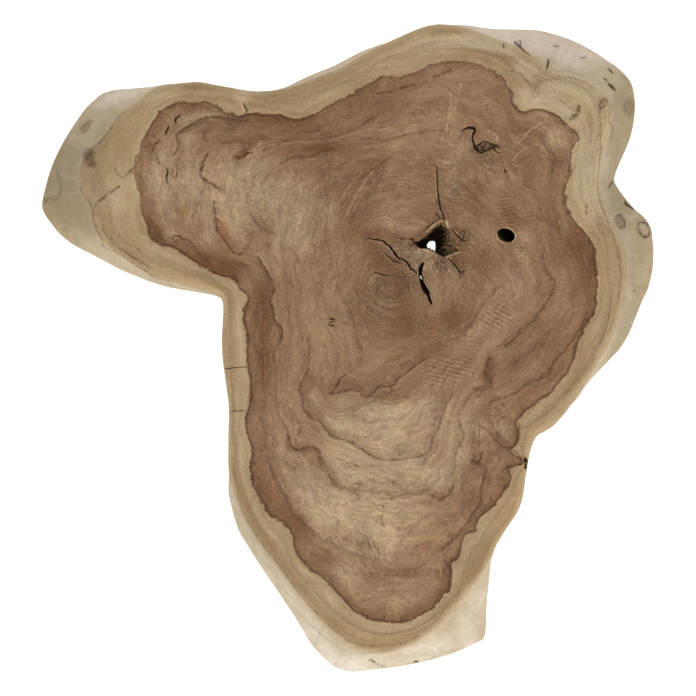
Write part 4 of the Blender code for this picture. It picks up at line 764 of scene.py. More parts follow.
def top_points():
    """Plan points, constraint edges and the indices of the loops they start with."""
    pts, edges, loops = [ARRIS], [], []
    n = len(ARRIS)
    edges += [(i, (i + 1) % n) for i in range(n)]
    loops.append(np.arange(n))
    base = n
    for mouth in MOUTHS:
        m = len(mouth)
        pts.append(mouth)
        loops.append(base + np.arange(m))
        edges += [(base + i, base + (i + 1) % m) for i in range(m)]
        base += m
    taken = [np.vstack([m]) for m in MOUTHS]
    crack_edges = []
    for depth, line in CRACK_LINES:
        d = np.gradient(line[:, :2], axis=0)
        d /= np.linalg.norm(d, axis=1)[:, None]
        side = np.stack([-d[:, 1], d[:, 0]], 1) * line[:, 2:3]
        parts = [line[:, :2] + side, line[:, :2] - side, line[:, :2]]
        ok = np.ones(len(line), bool)
        for mouth in MOUTHS:
            near = course(line[:, :2], mouth, 6, closed=True)[0]
            ok &= (~inside(line[:, :2], mouth)) & (near > line[:, 2] + 1.1)
        ok &= (course(line[:, :2], ARRIS, 6, closed=True)[0] > line[:, 2] + 0.9) & inside(line[:, :2], ARRIS)
        for part in parts:
            idx = np.full(len(line), -1)
            idx[ok] = base + np.arange(ok.sum())
            pts.append(part[ok])
            edges += [(idx[i], idx[i + 1]) for i in range(len(line) - 1) if ok[i] and ok[i + 1]]
            base += int(ok.sum())
        crack_edges.append((line, ok))
    fixed = np.vstack(pts)
    # rings just inside the arris, then a staggered lattice, finer where the surface has small relief
    loose = []
    for by in (1.5, 3.2, 5.2, 7.4):
        loose.append(inset(ARRIS, by))
    for mouth in MOUTHS:
        loose.append(inset(mouth, -1.1))
        loose.append(inset(mouth, -2.6)[::2])
    lo, hi = ARRIS.min(0) - 2, ARRIS.max(0) + 2

    def lattice(a):
        ys = np.arange(lo[1], hi[1], a * 0.8660254)
        rows = []
        for j, y in enumerate(ys):
            xs = np.arange(lo[0] + (0.5 * a if j % 2 else 0), hi[0], a)
            rows.append(np.stack([xs, np.full(len(xs), y)], 1))
        return np.vstack(rows)

    rng = np.random.default_rng(7)
    coarse, fine = lattice(LATTICE), lattice(1.25)
    areas = [(x, y, rx * 1.15, ry * 1.15, t, 1.0) for x, y, rx, ry, t, _, _, _ in RIPPLE[:7]]
    areas += [(487, 149, 11, 6, 0, 1.2), (242, 156, 8, 6, 0, 1.2), (434, 245, 24, 20, 0, 1.2), (424, 284, 12, 24, 0, 1.2), (398, 256, 26, 12, 36, 1.0)]
    want = patches(coarse, areas) > 0.55
    coarse = coarse[~want] + rng.uniform(-0.22, 0.22, (int((~want).sum()), 2))
    fine = fine[patches(fine, areas) > 0.55]
    fine = fine + rng.uniform(-0.1, 0.1, fine.shape)
    for lat in (coarse, fine):
        lat = lat[inside(lat, ARRIS)]
        loose.append(lat[course(lat, ARRIS, 12, closed=True)[0] > 9.0])
    loose = np.vstack(loose)
    keep = inside(loose, ARRIS)
    for mouth in MOUTHS:
        keep &= ~inside(loose, mouth) & (course(loose, mouth, 4, closed=True)[0] > 0.8)
    rim = course(loose, ARRIS, 24, closed=True)[0]
    keep &= rim > 1.2
    for line, ok in crack_edges:
        d, _, at, _ = course(loose, line, 6)
        w = np.interp(at, np.arange(len(line)), line[:, 2])
        keep &= d > w + 0.8
    loose = loose[keep]
    # thin out points that crowd each other
    cell = np.round(loose / 0.85).astype(np.int64)
    _, first = np.unique(cell[:, 0] * 100003 + cell[:, 1], return_index=True)
    loose = loose[np.sort(first)]
    return np.vstack([fixed, loose]), edges, loops


def triangulate(points, edges):
    got = delaunay_2d_cdt([Vector((float(a), float(b))) for a, b in points], [(int(a), int(b)) for a, b in edges], [], 1, 1e-5)
    verts, faces, origin = got[0], got[2], got[3]
    where = np.full(len(points), -1)
    for new, olds in enumerate(origin):
        for old in olds:
            where[old] = new
    return np.array([(v.x, v.y) for v in verts]), np.array([tuple(f) for f in faces]), where


def build():
    pts, edges, loops = top_points()
    flat, tris, where = triangulate(pts, edges)
    mid = flat[tris].mean(1)
    dead = np.zeros(len(tris), bool)
    for mouth in MOUTHS:
        dead |= inside(mid, mouth)
    dead |= ~inside(mid, ARRIS)
    tris = tris[~dead]
    z = top_height(flat)
    verts = [np.c_[flat, z]]
    zone = [np.zeros(len(flat))]           # 0 top, 1 flank, 2 underside, 3 hole
    inward = [np.zeros(len(flat))]         # how far inside a hole or along the flank
    faces = [tris]
    total = len(flat)
    loops = [where[l] for l in loops]

    # flank
    arris_id = loops[0]
    arris3 = verts[0][arris_id]
    foot3 = AXIS + (FOOT - AXIS) * (1 + THICKNESS / VIEW_HEIGHT)
    out = -(inset(ARRIS, 1.0) - ARRIS)
    out_foot = -(inset(foot3, 1.0) - foot3)
    prev = arris_id
    n = AROUND
    k = np.arange(n)
    perimeter = np.concatenate([[0], np.cumsum(np.linalg.norm(np.diff(ARRIS, axis=0), axis=1))])
    for row in range(1, FLANK_ROWS + 2):
        if row <= FLANK_ROWS:
            t = row / FLANK_ROWS
            t = 0.55 * t + 0.45 * (t ** 1.6)
            zz = arris3[:, 2] * (1 - t) + FOOT_EASE * t
            lean = t ** 1.12 + 0.045 * (1 - math.exp(-t / 0.045)) * math.exp(-t / 0.22)
            xy = arris3[:, :2] * (1 - lean) + foot3 * lean
            normal = out * (1 - t) + out_foot * t
            p3 = np.c_[xy, zz]
            gate = step(0, 0.10, t) * step(0, 0.10, 1 - t)
            wave = 1.15 * rough(np.c_[xy / 55, zz / 150], 2, 41) + 0.5 * lump(np.c_[xy / 17, zz / 70], 42)
            wave += 0.22 * lump(np.c_[xy / 5.5, zz / 22], 43) + 0.10 * lump(np.c_[xy / 2.6, zz / 9], 44)
            xy = xy + normal * (gate * wave)[:, None]
            for depth, line in FLANK_PITS:
                q = AXIS + (xy - AXIS) * VIEW_HEIGHT / (VIEW_HEIGHT + THICKNESS - zz)[:, None]
                line = even(line, step=1.2, closed=False)
                d, _, at, _ = course(q, line, 5)
                w = np.interp(at, np.arange(len(line)), line[:, 2])
                dip = depth * np.clip(1 - d / (w + 0.5), 0, 1)
                xy = xy - normal * dip[:, None]
        else:
            xy = inset(prev_xy, FOOT_EASE * 0.8)
            zz = np.zeros(n)
        ids = total + k
        verts.append(np.c_[xy, zz])
        zone.append(np.full(n, 1.0 if row <= FLANK_ROWS else 2.0))
        inward.append(np.full(n, row / (FLANK_ROWS + 1)))
        j = (k + 1) % n
        faces.append(np.stack([prev[k], ids[j], ids[k]], 1)[:, ::-1])
        faces.append(np.stack([prev[k], prev[j], ids[j]], 1)[:, ::-1])
        prev, prev_xy = ids, xy
        total += n
    under_ids, under_xy = [prev], [prev_xy]

    # holes
    def tube(mouth_ids, rings_, seed, cap=False):
        nonlocal total
        m = len(mouth_ids)
        kk = np.arange(m)
        jj = (kk + 1) % m
        prev_ = mouth_ids
        for r, (xy_, z_) in enumerate(rings_):
            ids_ = total + kk
            verts.append(np.c_[xy_, np.full(m, z_) if np.isscalar(z_) else z_])
            zone.append(np.full(m, 3.0))
            inward.append(np.full(m, np.clip((THICKNESS - np.mean(z_)) / THICKNESS, 0.03, 1)))
            faces.append(np.stack([prev_[kk], ids_[kk], ids_[jj]], 1)[:, ::-1])
            faces.append(np.stack([prev_[kk], ids_[jj], prev_[jj]], 1)[:, ::-1])
            prev_ = ids_
            total += m
        if cap:
            verts.append(np.array([[*rings_[-1][0].mean(0), np.mean(rings_[-1][1]) - 2.0]]))
            zone.append(np.array([3.0]))
            inward.append(np.array([1.0]))
            faces.append(np.stack([prev_[kk], np.full(m, total), prev_[jj]], 1)[:, ::-1])
            total += 1
        return prev_

    def spread(z_):
        return 1 + (THICKNESS - z_) / VIEW_HEIGHT

    def seen(xy_, z_):
        return AXIS + (xy_ - AXIS) * spread(z_)

    pith = []
    zs = np.concatenate([np.linspace(87, 40, 22), np.linspace(36, 0, 11)])
    throat, throat_c = pith_throat, pith_throat.mean(0)
    for z_ in zs:
        t = np.interp(z_, [0, 36, 42, 66, 84, 90], [1.0, 1.0, 0.97, 0.30, 0.03, 0])
        ring_ = pith_mouth * (1 - t) + throat * t
        if z_ < 36:
            ring_ = throat_c + (ring_ - throat_c) * np.interp(z_, [0, 20, 36], [1.9, 1.35, 1.0])
        c = ring_.mean(0)
        away = (ring_ - c) / np.linalg.norm(ring_ - c, axis=1)[:, None]
        p3 = np.c_[pith_mouth / 3.2, np.full(len(ring_), z_ / 7.0)]
        shift = rough(p3, 3, 51) * 1.5 * np.clip((THICKNESS - z_) / 22, 0.15, 1) * (1 - step(0.55, 1.0, t) * 0.75)
        pith.append((seen(ring_ + away * shift[:, None], z_), z_))
    under_ids.append(tube(loops[1], pith, 51))
    under_xy.append(pith[-1][0])

    check = []
    cc = check_mouth.mean(0)
    spine = even([(421.8, 264), (420.5, 272), (421.4, 280), (424, 288), (427.6, 295), (431, 302.5)], step=2, closed=False)
    _, _, at, _ = course(check_mouth, spine, 60)
    centre = np.stack([np.interp(at, np.arange(len(spine)), spine[:, c_]) for c_ in (0, 1)], 1)
    for z_ in np.linspace(86, 0, 24):
        narrow = np.interp(z_, [0, 30, 60, 76, 84, 90], [0.36, 0.36, 0.38, 0.44, 0.70, 1.0])
        ring_ = centre + (check_mouth - centre) * narrow
        ring_ = np.array([421.9, 278]) + (ring_ - np.array([421.9, 278])) * np.array([1.0, np.interp(z_, [0, 30, 60, 90], [0.20, 0.24, 0.7, 1.0])])
        p3 = np.c_[check_mouth / 2.6, np.full(len(ring_), z_ / 8.0)]
        side = (check_mouth - centre)
        side /= np.linalg.norm(side, axis=1)[:, None] + 1e-6
        ring_ = ring_ + side * (0.28 * rough(p3, 2, 61))[:, None]
        check.append((seen(ring_, z_), z_))
    under_ids.append(tube(loops[2], check, 61))
    under_xy.append(check[-1][0])

    borer = []
    bc = borer_mouth.mean(0)
    for z_ in np.concatenate([[89, 87.5, 85], np.linspace(81, 20, 14)]):
        s_ = np.interp(z_, [18, 60, 86, 90], [0.80, 0.95, 0.97, 1.0])
        move = np.array([np.interp(z_, [18, 60, 90], [11, 3, 0]), np.interp(z_, [18, 60, 90], [-7, -2.2, 0])])
        p3 = np.c_[borer_mouth / 3.5, np.full(56, z_ / 5.0)]
        ring_ = bc + move + (borer_mouth - bc) * (s_ + 0.025 * rough(p3, 2, 71))[:, None]
        borer.append((ring_, z_))
    tube(loops[3], borer, 71, cap=True)

    # underside
    seg, pos, base = [], [], 0
    for loop in under_xy:
        m = len(loop)
        pos.append(loop)
        seg += [(base + i, base + (i + 1) % m) for i in range(m)]
        base += m
    outer = under_xy[0]
    a = 7.0
    lo, hi = outer.min(0), outer.max(0)
    gx, gy = np.meshgrid(np.arange(lo[0], hi[0], a), np.arange(lo[1], hi[1], a * 0.866))
    gx = gx + (np.arange(gx.shape[0]) % 2)[:, None] * a / 2
    grid = np.stack([gx.ravel(), gy.ravel()], 1)
    ok = inside(grid, outer) & (course(grid, outer, 8, closed=True)[0] > 3.5)
    for hole in under_xy[1:]:
        ok &= ~inside(grid, hole) & (course(grid, hole, 8, closed=True)[0] > 2.0)
    grid = grid[ok]
    near_hole = []
    pos.append(grid)
    flat2, tris2, where2 = triangulate(np.vstack(pos), seg)
    mid = flat2[tris2].mean(1)
    dead = ~inside(mid, outer)
    for hole in under_xy[1:]:
        dead |= inside(mid, hole)
    tris2 = tris2[~dead]
    known = np.concatenate(under_ids)
    new_id = np.full(len(flat2), -1)
    new_id[where2[: len(known)]] = known
    fresh = np.nonzero(new_id < 0)[0]
    new_id[fresh] = total + np.arange(len(fresh))
    verts.append(np.c_[flat2[fresh], np.zeros(len(fresh))])
    zone.append(np.full(len(fresh), 2.0))
    inward.append(np.ones(len(fresh)))
    faces.append(new_id[tris2][:, ::-1])
    return np.vstack(verts), np.vstack(faces), np.concatenate(zone), np.concatenate(inward)


POINTS, FACES, ZONE, INWARD = build()


# ---------------------------------------------------------------------------------------------
# What the wood is like at each point
# ---------------------------------------------------------------------------------------------
def line_set(q, rows, reach=6.0):
    """Signed offset, half width and strength of the nearest line of a set, and the shade beside all of them."""
    best, off_, hw_, st_ = np.full(len(q), 1e6), np.full(len(q), 9.0), np.full(len(q), 0.7), np.zeros(len(q))
    shade, sheen = np.zeros(len(q)), np.zeros(len(q))
    for hw, strength, wide, pts in rows:
        line = even(pts, step=3.0, closed=False) if len(pts) > 2 else np.asarray(pts, float)
        d, off, at, over = course(q, line, max(reach, abs(wide) + 1))
        fade = np.clip(1 - over / 2.0, 0, 1) * step(reach, reach * 0.55, d)
        take = (d < reach) & (d - 2 * abs(strength) < best)
        best[take] = (d - 2 * abs(strength))[take]
        off_[take], hw_[take], st_[take] = off[take], hw, (strength * fade)[take]
        if wide:
            side = off * math.copysign(1.0, wide)
            fall = step(-1.2, 0.8, side) * np.clip(1 - side / abs(wide), 0, 1) ** 1.3
            ends = np.clip(np.minimum(at, len(line) - 1 - at) / 3.0, 0, 1) * (over < 0.5)
            shade = 1 - (1 - shade) * (1 - np.where(d < 1e5, strength * fall * ends, 0))
            other = step(-0.3, -1.6, side) * np.clip(1 + side / (0.45 * abs(wide)), 0, 1)
            sheen = np.maximum(sheen, np.where(d < 1e5, strength * other * ends, 0))
    return np.stack([off_, hw_, st_], 1), np.stack([shade, sheen], 1)


def crack_set(q, rows, reach=5.0):
    best, off_, hw_, st_ = np.full(len(q), 1e6), np.full(len(q), 9.0), np.full(len(q), 0.3), np.zeros(len(q))
    for depth, pts in rows:
        d, off, at, over = course(q, pts, reach)
        w = np.interp(at, np.arange(len(pts)), pts[:, 2])
        take = (d < reach) & (d - w < best)
        best[take] = (d - w)[take]
        off_[take], hw_[take] = off[take], w[take]
        st_[take] = (min(1.0, 0.55 + depth / 22) * np.clip(1 - over / 1.2, 0, 1) * step(reach, reach * 0.5, d))[take]
    return np.stack([off_, hw_, st_], 1)


xy, height = POINTS[:, :2], POINTS[:, 2]
seen_xy = AXIS + (xy - AXIS) * (VIEW_HEIGHT / (VIEW_HEIGHT + THICKNESS - height))[:, None]
top = ZONE == 0
flank = ZONE == 1
q = seen_xy
rim_d = np.minimum(course(q, ARRIS, 60, closed=True)[0], 60)
rim_d = np.where(inside(q, ARRIS), rim_d, -rim_d)
heart_d = np.minimum(course(q, HEART_LINE, 75, closed=True)[0], 75)
heart_d = np.where(inside(q, HEART_LINE), heart_d, -heart_d)
heart_d = np.where(flank, np.minimum(heart_d, -8.0), heart_d)
ring = rings_at(q)
ring = np.where(flank, RIM_RING + 0.0045 * np.maximum(-rim_d, 0) + 0.0008 * (THICKNESS - height), ring)
shown = np.where(top | flank, 1.0, 0.3)[:, None]

# how far round the rim, as a closed curve, and how far down the flank
_, _, turn_at, _ = course(q, ARRIS, 60, closed=True)
round_ = np.stack([330 * np.cos(turn_at * 2 * math.pi / AROUND), 330 * np.sin(turn_at * 2 * math.pi / AROUND), THICKNESS - height], 1)
lines_a, shade_a = line_set(q, [row[1:] for row in LINES if row[0] == 0])
lines_b, shade_b = line_set(q, [row[1:] for row in LINES if row[0] == 1])

# cutter ripples: distance across them, and how strong they are
across, strong = np.zeros(len(q)), np.zeros(len(q))
for x, y, rx, ry, turn_, ripple_turn, weight, gap in RIPPLE:
    near = patches(q, [(x, y, rx, ry, turn_, 1.0)]) * weight
    c_, s_ = math.cos(math.radians(ripple_turn)), math.sin(math.radians(ripple_turn))
    across = np.where(near > strong, (-(q[:, 0] - x) * s_ + (q[:, 1] - y) * c_) / gap, across)
    strong = np.maximum(strong, near)
chatter = even(CHATTER, step=3.6, closed=False)
d_, _, at_, over_ = course(q, chatter, 6)
near = np.where(over_ < 0.5, step(4.5, 2.0, d_), 0) * 0.6
across = np.where(near > strong, at_, across)
strong = np.maximum(strong, near)

attributes = {
    "ring": ring,
    "flow": np.clip(rings_at(q, STEEP) / 0.0055, 0.12, 1.1),
    "heart": heart_d,
    "rim": rim_d,
    "lines_a": lines_a * shown,
    "lines_b": lines_b * shown,
    "shade": 1 - (1 - shade_a[:, 0]) * (1 - shade_b[:, 0]),
    "sheen": np.maximum(shade_a[:, 1], shade_b[:, 1]),
    "round": round_,
    "cracks": crack_set(q, CRACK_LINES + [(d, even(p, step=1.5, closed=False)) for d, p in FLANK_PITS]),
    "tone": np.stack([patches(q, PALE), patches(q, DARK), patches(q, RED)], 1) * shown,
    "cast": np.stack([patches(q, GREY), patches(q, OLIVE), patches(q, STAIN)], 1) * shown,
    "place": np.stack([flank * 1.0, (ZONE == 3) * INWARD, (ZONE == 2) * 1.0], 1),
    # painted light and shade on the flank, lighter at the top and bottom of the plan, darker at the sides
    "flank_painted_light": patches(q, FLANK_PAINTED_LIGHT),
    "wall_light": patches(q, WALL_LIGHT) * (ZONE == 3),
    "ripple": np.stack([across, strong, patches(q, HATCH)], 1),
    # the edge of the heartwood is faint at the top right and strong elsewhere
    "edge_line": 0.9 - patches(q, [(490, 80, 36, 20, 10, .45), (565, 160, 16, 40, 0, .20), (540, 385, 30, 12, -40, .35), (402, 86, 70, 16, -20, .34), (204, 104, 40, 9, 2, .30), (142, 186, 18, 40, 0, .72), (470, 535, 12, 12, 0, .3), (318, 578, 24, 12, 42, .25), (516, 440, 8, 14, 0, .3)]),
}

mesh = bpy.data.meshes.new("teak_slab")
place3 = np.stack([(xy[:, 0] - ORIGIN[0]) / 1000, (ORIGIN[1] - xy[:, 1]) / 1000, height / 1000], 1)
mesh.from_pydata(place3.tolist(), [], FACES.tolist())
mesh.validate(verbose=False)
for name, values in attributes.items():
    values = np.asarray(values, np.float32)
    kind = "FLOAT" if values.ndim == 1 else "FLOAT_VECTOR"
    layer = mesh.attributes.new(name, kind, "POINT")
    layer.data.foreach_set("value" if kind == "FLOAT" else "vector", values.ravel())
mesh.shade_smooth()
slab = bpy.data.objects.new("teak_slab", mesh)
bpy.context.scene.collection.objects.link(slab)
bm = bmesh.new()
bm.from_mesh(mesh)
bmesh.ops.recalc_face_normals(bm, faces=bm.faces)
print("slab:", len(bm.verts), "points", len(bm.faces), "faces; open edges", sum(1 for e in bm.edges if len(e.link_faces) != 2), "volume", round(bm.calc_volume() * 1e6), "cm3")
bm.to_mesh(mesh)
bm.free()
mesh.set_sharp_from_angle(angle=math.radians(48))


# ---------------------------------------------------------------------------------------------
# The wood's material
# ---------------------------------------------------------------------------------------------
def tint(r, g, b):
    """A colour as a paint chart gives it, 0 to 255, in linear light."""
    return tuple((c / 255 / 12.92) if c / 255 <= 0.04045 else ((c / 255 + 0.055) / 1.055) ** 2.4 for c in (r, g, b)) + (1.0,)


class Graph:
    def __init__(self, material):
        material.use_nodes = True
        self.tree = material.node_tree
        self.tree.nodes.clear()

    def put(self, kind, **settings):
        node = self.tree.nodes.new(kind)
        for key, value in settings.items():
            setattr(node, key, value)
        return node

    def feed(self, socket, value):
        if isinstance(value, bpy.types.NodeSocket):
            self.tree.links.new(value, socket)
        elif value is not None:
            socket.default_value = value

    def math(self, op, a, b=None, c=None, clamp=False):
        node = self.put("ShaderNodeMath", operation=op, use_clamp=clamp)
        for socket, value in zip(node.inputs, (a, b, c)):
            self.feed(socket, value)
        return node.outputs[0]

    def add(self, a, b): return self.math("ADD", a, b)
    def sub(self, a, b): return self.math("SUBTRACT", a, b)
    def mul(self, a, b): return self.math("MULTIPLY", a, b)

    def ramp(self, x, lo, hi, a=0.0, b=1.0, smooth=True):
        node = self.put("ShaderNodeMapRange", interpolation_type="SMOOTHSTEP" if smooth else "LINEAR", clamp=True)
        for i, value in enumerate((x, lo, hi, a, b)):
            self.feed(node.inputs[i], value)
        return node.outputs[0]

    def mix(self, fac, a, b, mode="MIX"):
        node = self.put("ShaderNodeMix", data_type="RGBA", blend_type=mode, clamp_factor=True)
        self.feed(node.inputs[0], fac)
        self.feed(node.inputs[6], a)
        self.feed(node.inputs[7], b)
        return node.outputs[2]

    def vec(self, op, a, b):
        node = self.put("ShaderNodeVectorMath", operation=op)
        self.feed(node.inputs[0], a)
        if op == "SCALE":
            self.feed(node.inputs[3], b)
        else:
            self.feed(node.inputs[1], b)
        return node.outputs[0]

    def noise(self, vector, scale, detail=2.0, rough_=0.5, w=None, distort=0.0):
        node = self.put("ShaderNodeTexNoise", noise_dimensions="3D" if w is None else "4D")
        self.feed(node.inputs["Vector"], vector)
        if w is not None:
            self.feed(node.inputs["W"], w)
        node.inputs["Scale"].default_value = scale
        node.inputs["Detail"].default_value = detail
        node.inputs["Roughness"].default_value = rough_
        node.inputs["Distortion"].default_value = distort
        return node.outputs[0]

    def grey(self, x):
        node = self.put("ShaderNodeCombineXYZ")
        for socket in node.inputs:
            self.feed(socket, x)
        return node.outputs[0]

    def attribute(self, name, parts=False):
        node = self.put("ShaderNodeAttribute", attribute_name=name, attribute_type="GEOMETRY")
        if not parts:
            return node.outputs["Fac"]
        split = self.put("ShaderNodeSeparateXYZ")
        self.tree.links.new(node.outputs["Vector"], split.inputs[0])
        return split.outputs[0], split.outputs[1], split.outputs[2]


def wood():
    m = bpy.data.materials.new("teak_wood")
    g = Graph(m)
    out = g.put("ShaderNodeOutputMaterial")
    bsdf = g.put("ShaderNodeBsdfPrincipled")
    g.tree.links.new(bsdf.outputs[0], out.inputs[0])
    P = g.vec("SCALE", g.put("ShaderNodeTexCoord").outputs["Object"], 1000.0)  # millimetres

    ring_, heart, rim, shade = g.attribute("ring"), g.attribute("heart"), g.attribute("rim"), g.attribute("shade")
    pale, dark, red = g.attribute("tone", True)
    grey, olive, stain = g.attribute("cast", True)
    flank_, hole_, under_ = g.attribute("place", True)
    a_off, a_hw, a_st = g.attribute("lines_a", True)
    b_off, b_hw, b_st = g.attribute("lines_b", True)
    c_off, c_hw, c_st = g.attribute("cracks", True)
    r_across, r_strong, hatch = g.attribute("ripple", True)
    edge_line, light = g.attribute("edge_line"), g.attribute("flank_painted_light")

    def centred(n, gain):
        return g.mul(g.sub(n, 0.5), gain)

    def squash(x, y, z):
        return g.vec("MULTIPLY", P, (x, y, z))

    def times(c, x):
        return g.mix(1.0, c, g.grey(x), "MULTIPLY")

    # the ring lines wander
    flow = g.attribute("flow")
    wander = g.add(centred(g.noise(squash(.022, .022, .01), 1, 3, 0.6), 0.16), centred(g.noise(squash(.13, .13, .04), 1, 3, 0.65), 0.055))
    phi = g.add(ring_, g.mul(wander, flow))

    def along(scale, cycles, detail=2.0, rough_=0.55):
        """Streaks that follow the growth rings: long along them, narrow across."""
        return g.noise(squash(scale, scale, scale * 0.3), 1, detail, rough_, w=g.mul(phi, cycles))

    broad = along(0.008, 8.0)
    mid = along(0.014, 26.0)
    fine = along(0.030, 75.0, 3.0)
    hair = along(0.075, 210.0, 2.0, 0.6)
    mottle = g.noise(squash(.040, .040, .02), 1, 4, 0.62)
    blot = g.noise(squash(.016, .016, .008), 1, 2, 0.5)
    speck = g.noise(P, 0.42, 3, 0.7)
    tiny = g.noise(P, 1.1, 2, 0.6)

    lean = g.put("ShaderNodeVectorRotate", rotation_type="Z_AXIS")
    g.feed(lean.inputs["Vector"], P)
    lean.inputs["Angle"].default_value = math.radians(-14)
    brush = g.noise(g.vec("MULTIPLY", lean.outputs[0], (0.85, 0.085, 0.1)), 1, 3, 0.62, distort=0.5)

    def scratch(degrees, where):
        """Thin straight scuffs in one direction, in loose groups: pale above 0, dark below."""
        turned = g.put("ShaderNodeVectorRotate", rotation_type="Z_AXIS")
        g.feed(turned.inputs["Vector"], P)
        turned.inputs["Angle"].default_value = math.radians(degrees)
        n = g.noise(g.vec("MULTIPLY", turned.outputs[0], (0.95, 0.055, 0.1)), 1, 1, 0.5)
        group = g.noise(g.vec("ADD", P, (where, 2.0 * where, 0.0)), 0.042, 2, 0.5)
        return g.mul(g.sub(g.ramp(n, 0.60, 0.70), g.ramp(n, 0.40, 0.30)), g.ramp(group, 0.50, 0.66))

    scuffs = g.add(g.add(scratch(18, 100.0), scratch(-38, 300.0)), g.add(scratch(76, 500.0), scratch(-80, 700.0)))

    # jagged edge of the heartwood
    jag = g.add(centred(g.noise(P, 0.17, 3, 0.65), 8.0), centred(g.noise(P, 0.50, 2, 0.6), 3.8))
    ragged = g.ramp(g.noise(P, 0.028, 2, 0.5), 0.40, 0.62, 0.30, 1.15)
    hd = g.add(heart, g.mul(jag, g.math("MAXIMUM", ragged, g.ramp(heart, 3.0, 9.0))))
    is_heart = g.ramp(hd, -0.6, 0.6)

    def layered(mask, gain=0.9):
        """A soft patch whose border is torn into streaks along the rings."""
        return g.math("MULTIPLY_ADD", g.mul(g.add(g.add(centred(mid, 1.25), centred(broad, 0.8)), centred(mottle, 0.5)), g.mul(g.ramp(mask, 0.02, 0.5), g.ramp(mask, 0.6, 1.3, 1.0, 0.6))), gain, mask)

    # heartwood colour
    h = g.mix(g.ramp(g.add(broad, centred(blot, 0.5)), 0.30, 0.70), tint(141, 109, 80), tint(162, 132, 103))
    h = g.mix(g.ramp(layered(pale, 0.72), 0.05, 1.15), h, tint(184, 160, 129))
    h = g.mix(g.mul(g.ramp(layered(grey, 0.6), 0.0, 1.0), 0.72), h, tint(146, 126, 99))
    h = g.mix(g.mul(g.ramp(olive, 0.0, 1.0), 0.45), h, tint(128, 106, 70))
    h = g.mix(g.mul(g.ramp(layered(dark), 0.05, 1.2), 0.92), h, tint(115, 79, 47))
    h = g.mix(g.mul(g.ramp(layered(red, 0.7), 0.0, 1.2), 0.7), h, tint(152, 98, 62))
    inner_shade = g.mul(g.ramp(g.add(hd, centred(mottle, 8.0)), 10.5, 0.5), g.mul(edge_line, 0.42))
    h = g.mix(inner_shade, h, tint(116, 78, 46))
    h = g.mix(g.mul(g.attribute("sheen"), 0.34), h, tint(196, 170, 138))
    h = g.mix(g.mul(g.mul(shade, g.ramp(g.add(centred(mid, 1.0), brush), 0.35, 0.65, 0.5, 1.0)), 0.80), h, tint(104, 74, 44))

    # sapwood colour
    s = g.mix(g.ramp(g.add(broad, centred(blot, 0.6)), 0.32, 0.68), tint(160, 135, 101), tint(178, 153, 119))
    layers = along(0.005, 12.0, 2.0, 0.5)
    s = g.mix(g.mul(g.ramp(layers, 0.50, 0.62), 0.34), s, tint(190, 169, 137))
    s = g.mix(g.mul(g.ramp(layers, 0.48, 0.34), 0.30), s, tint(148, 122, 86))
    s = g.mix(g.mul(g.ramp(layered(pale), 0.0, 1.0), 0.8), s, tint(196, 178, 147))
    s = g.mix(g.mul(g.ramp(layered(olive, 0.6), 0.0, 1.0), 0.55), s, tint(166, 141, 98))
    s = g.mix(g.mul(g.ramp(grey, 0.0, 1.0), 0.5), s, tint(145, 130, 104))
    s = g.mix(g.mul(g.ramp(dark, 0.1, 1.2), 0.25), s, tint(130, 104, 72))
    s = g.mix(g.mul(g.ramp(hd, -5.0, -1.0), 0.30), s, tint(192, 170, 136))

    # painted light: the sapwood within about 7 mm of the arris is lightened, less where it is grey, to offset the
    # shading of the rolled edge
    s = g.mix(g.mul(g.ramp(g.add(rim, centred(mottle, 6.0)), 7.0, 0.0), g.ramp(grey, 0.30, 0.0, 0.12, 0.34)), s, tint(214, 194, 158))

    # flank colour: the same sapwood, bleached, then lightened and darkened by the flank patches as painted light and
    # shade
    f_dark, f_mid, f_light = tint(166, 148, 115), tint(190, 173, 142), tint(221, 209, 192)
    # painted light and shade: the flank patches set how light the flank is, with some mottling
    lit = g.add(light, g.add(centred(mottle, 0.8), centred(blot, 0.6)))
    f = g.mix(g.ramp(lit, -0.55, 0.12), f_dark, f_mid)
    f = g.mix(g.ramp(lit, 0.12, 0.95), f, f_light)
    f = g.mix(g.mul(g.ramp(red, 0.0, 1.0), 0.45), f, tint(206, 184, 166))
    f = g.mix(g.mul(g.ramp(olive, 0.0, 1.0), 0.66), f, tint(146, 130, 92))
    f = g.mix(g.mul(g.ramp(grey, 0.0, 1.0), 0.45), f, tint(142, 125, 93))

    round_ = g.put("ShaderNodeAttribute", attribute_name="round", attribute_type="GEOMETRY").outputs["Vector"]
    runs = g.noise(g.vec("MULTIPLY", round_, (0.16, 0.16, 0.020)), 1, 3, 0.6)
    f = g.mix(g.mul(g.ramp(runs, 0.52, 0.70), 0.12), f, f_light)
    f = g.mix(g.mul(g.ramp(runs, 0.48, 0.32), 0.20), f, tint(158, 142, 110))
    patch = g.noise(g.vec("MULTIPLY", round_, (0.060, 0.060, 0.030)), 1, 4, 0.6, distort=0.5)
    f = g.mix(g.mul(g.ramp(patch, 0.52, 0.66), 0.05), f, f_light)
    f = g.mix(g.mul(g.ramp(patch, 0.46, 0.36), 0.12), f, tint(168, 148, 116))
    soft_rim = g.add(rim, g.add(centred(mottle, 6.0), centred(mid, 4.0)))
    soft_rim = g.math("DIVIDE", soft_rim, g.ramp(grey, 0.05, 0.40, 1.0, 2.6))
    flank_mix = g.mul(g.ramp(soft_rim, 3.5, -3.5), g.sub(1.0, under_))
    flank_mix = g.mul(flank_mix, g.ramp(hole_, 0.02, 0.0))
    c = g.mix(is_heart, s, h)
    c = g.mix(flank_mix, c, f)

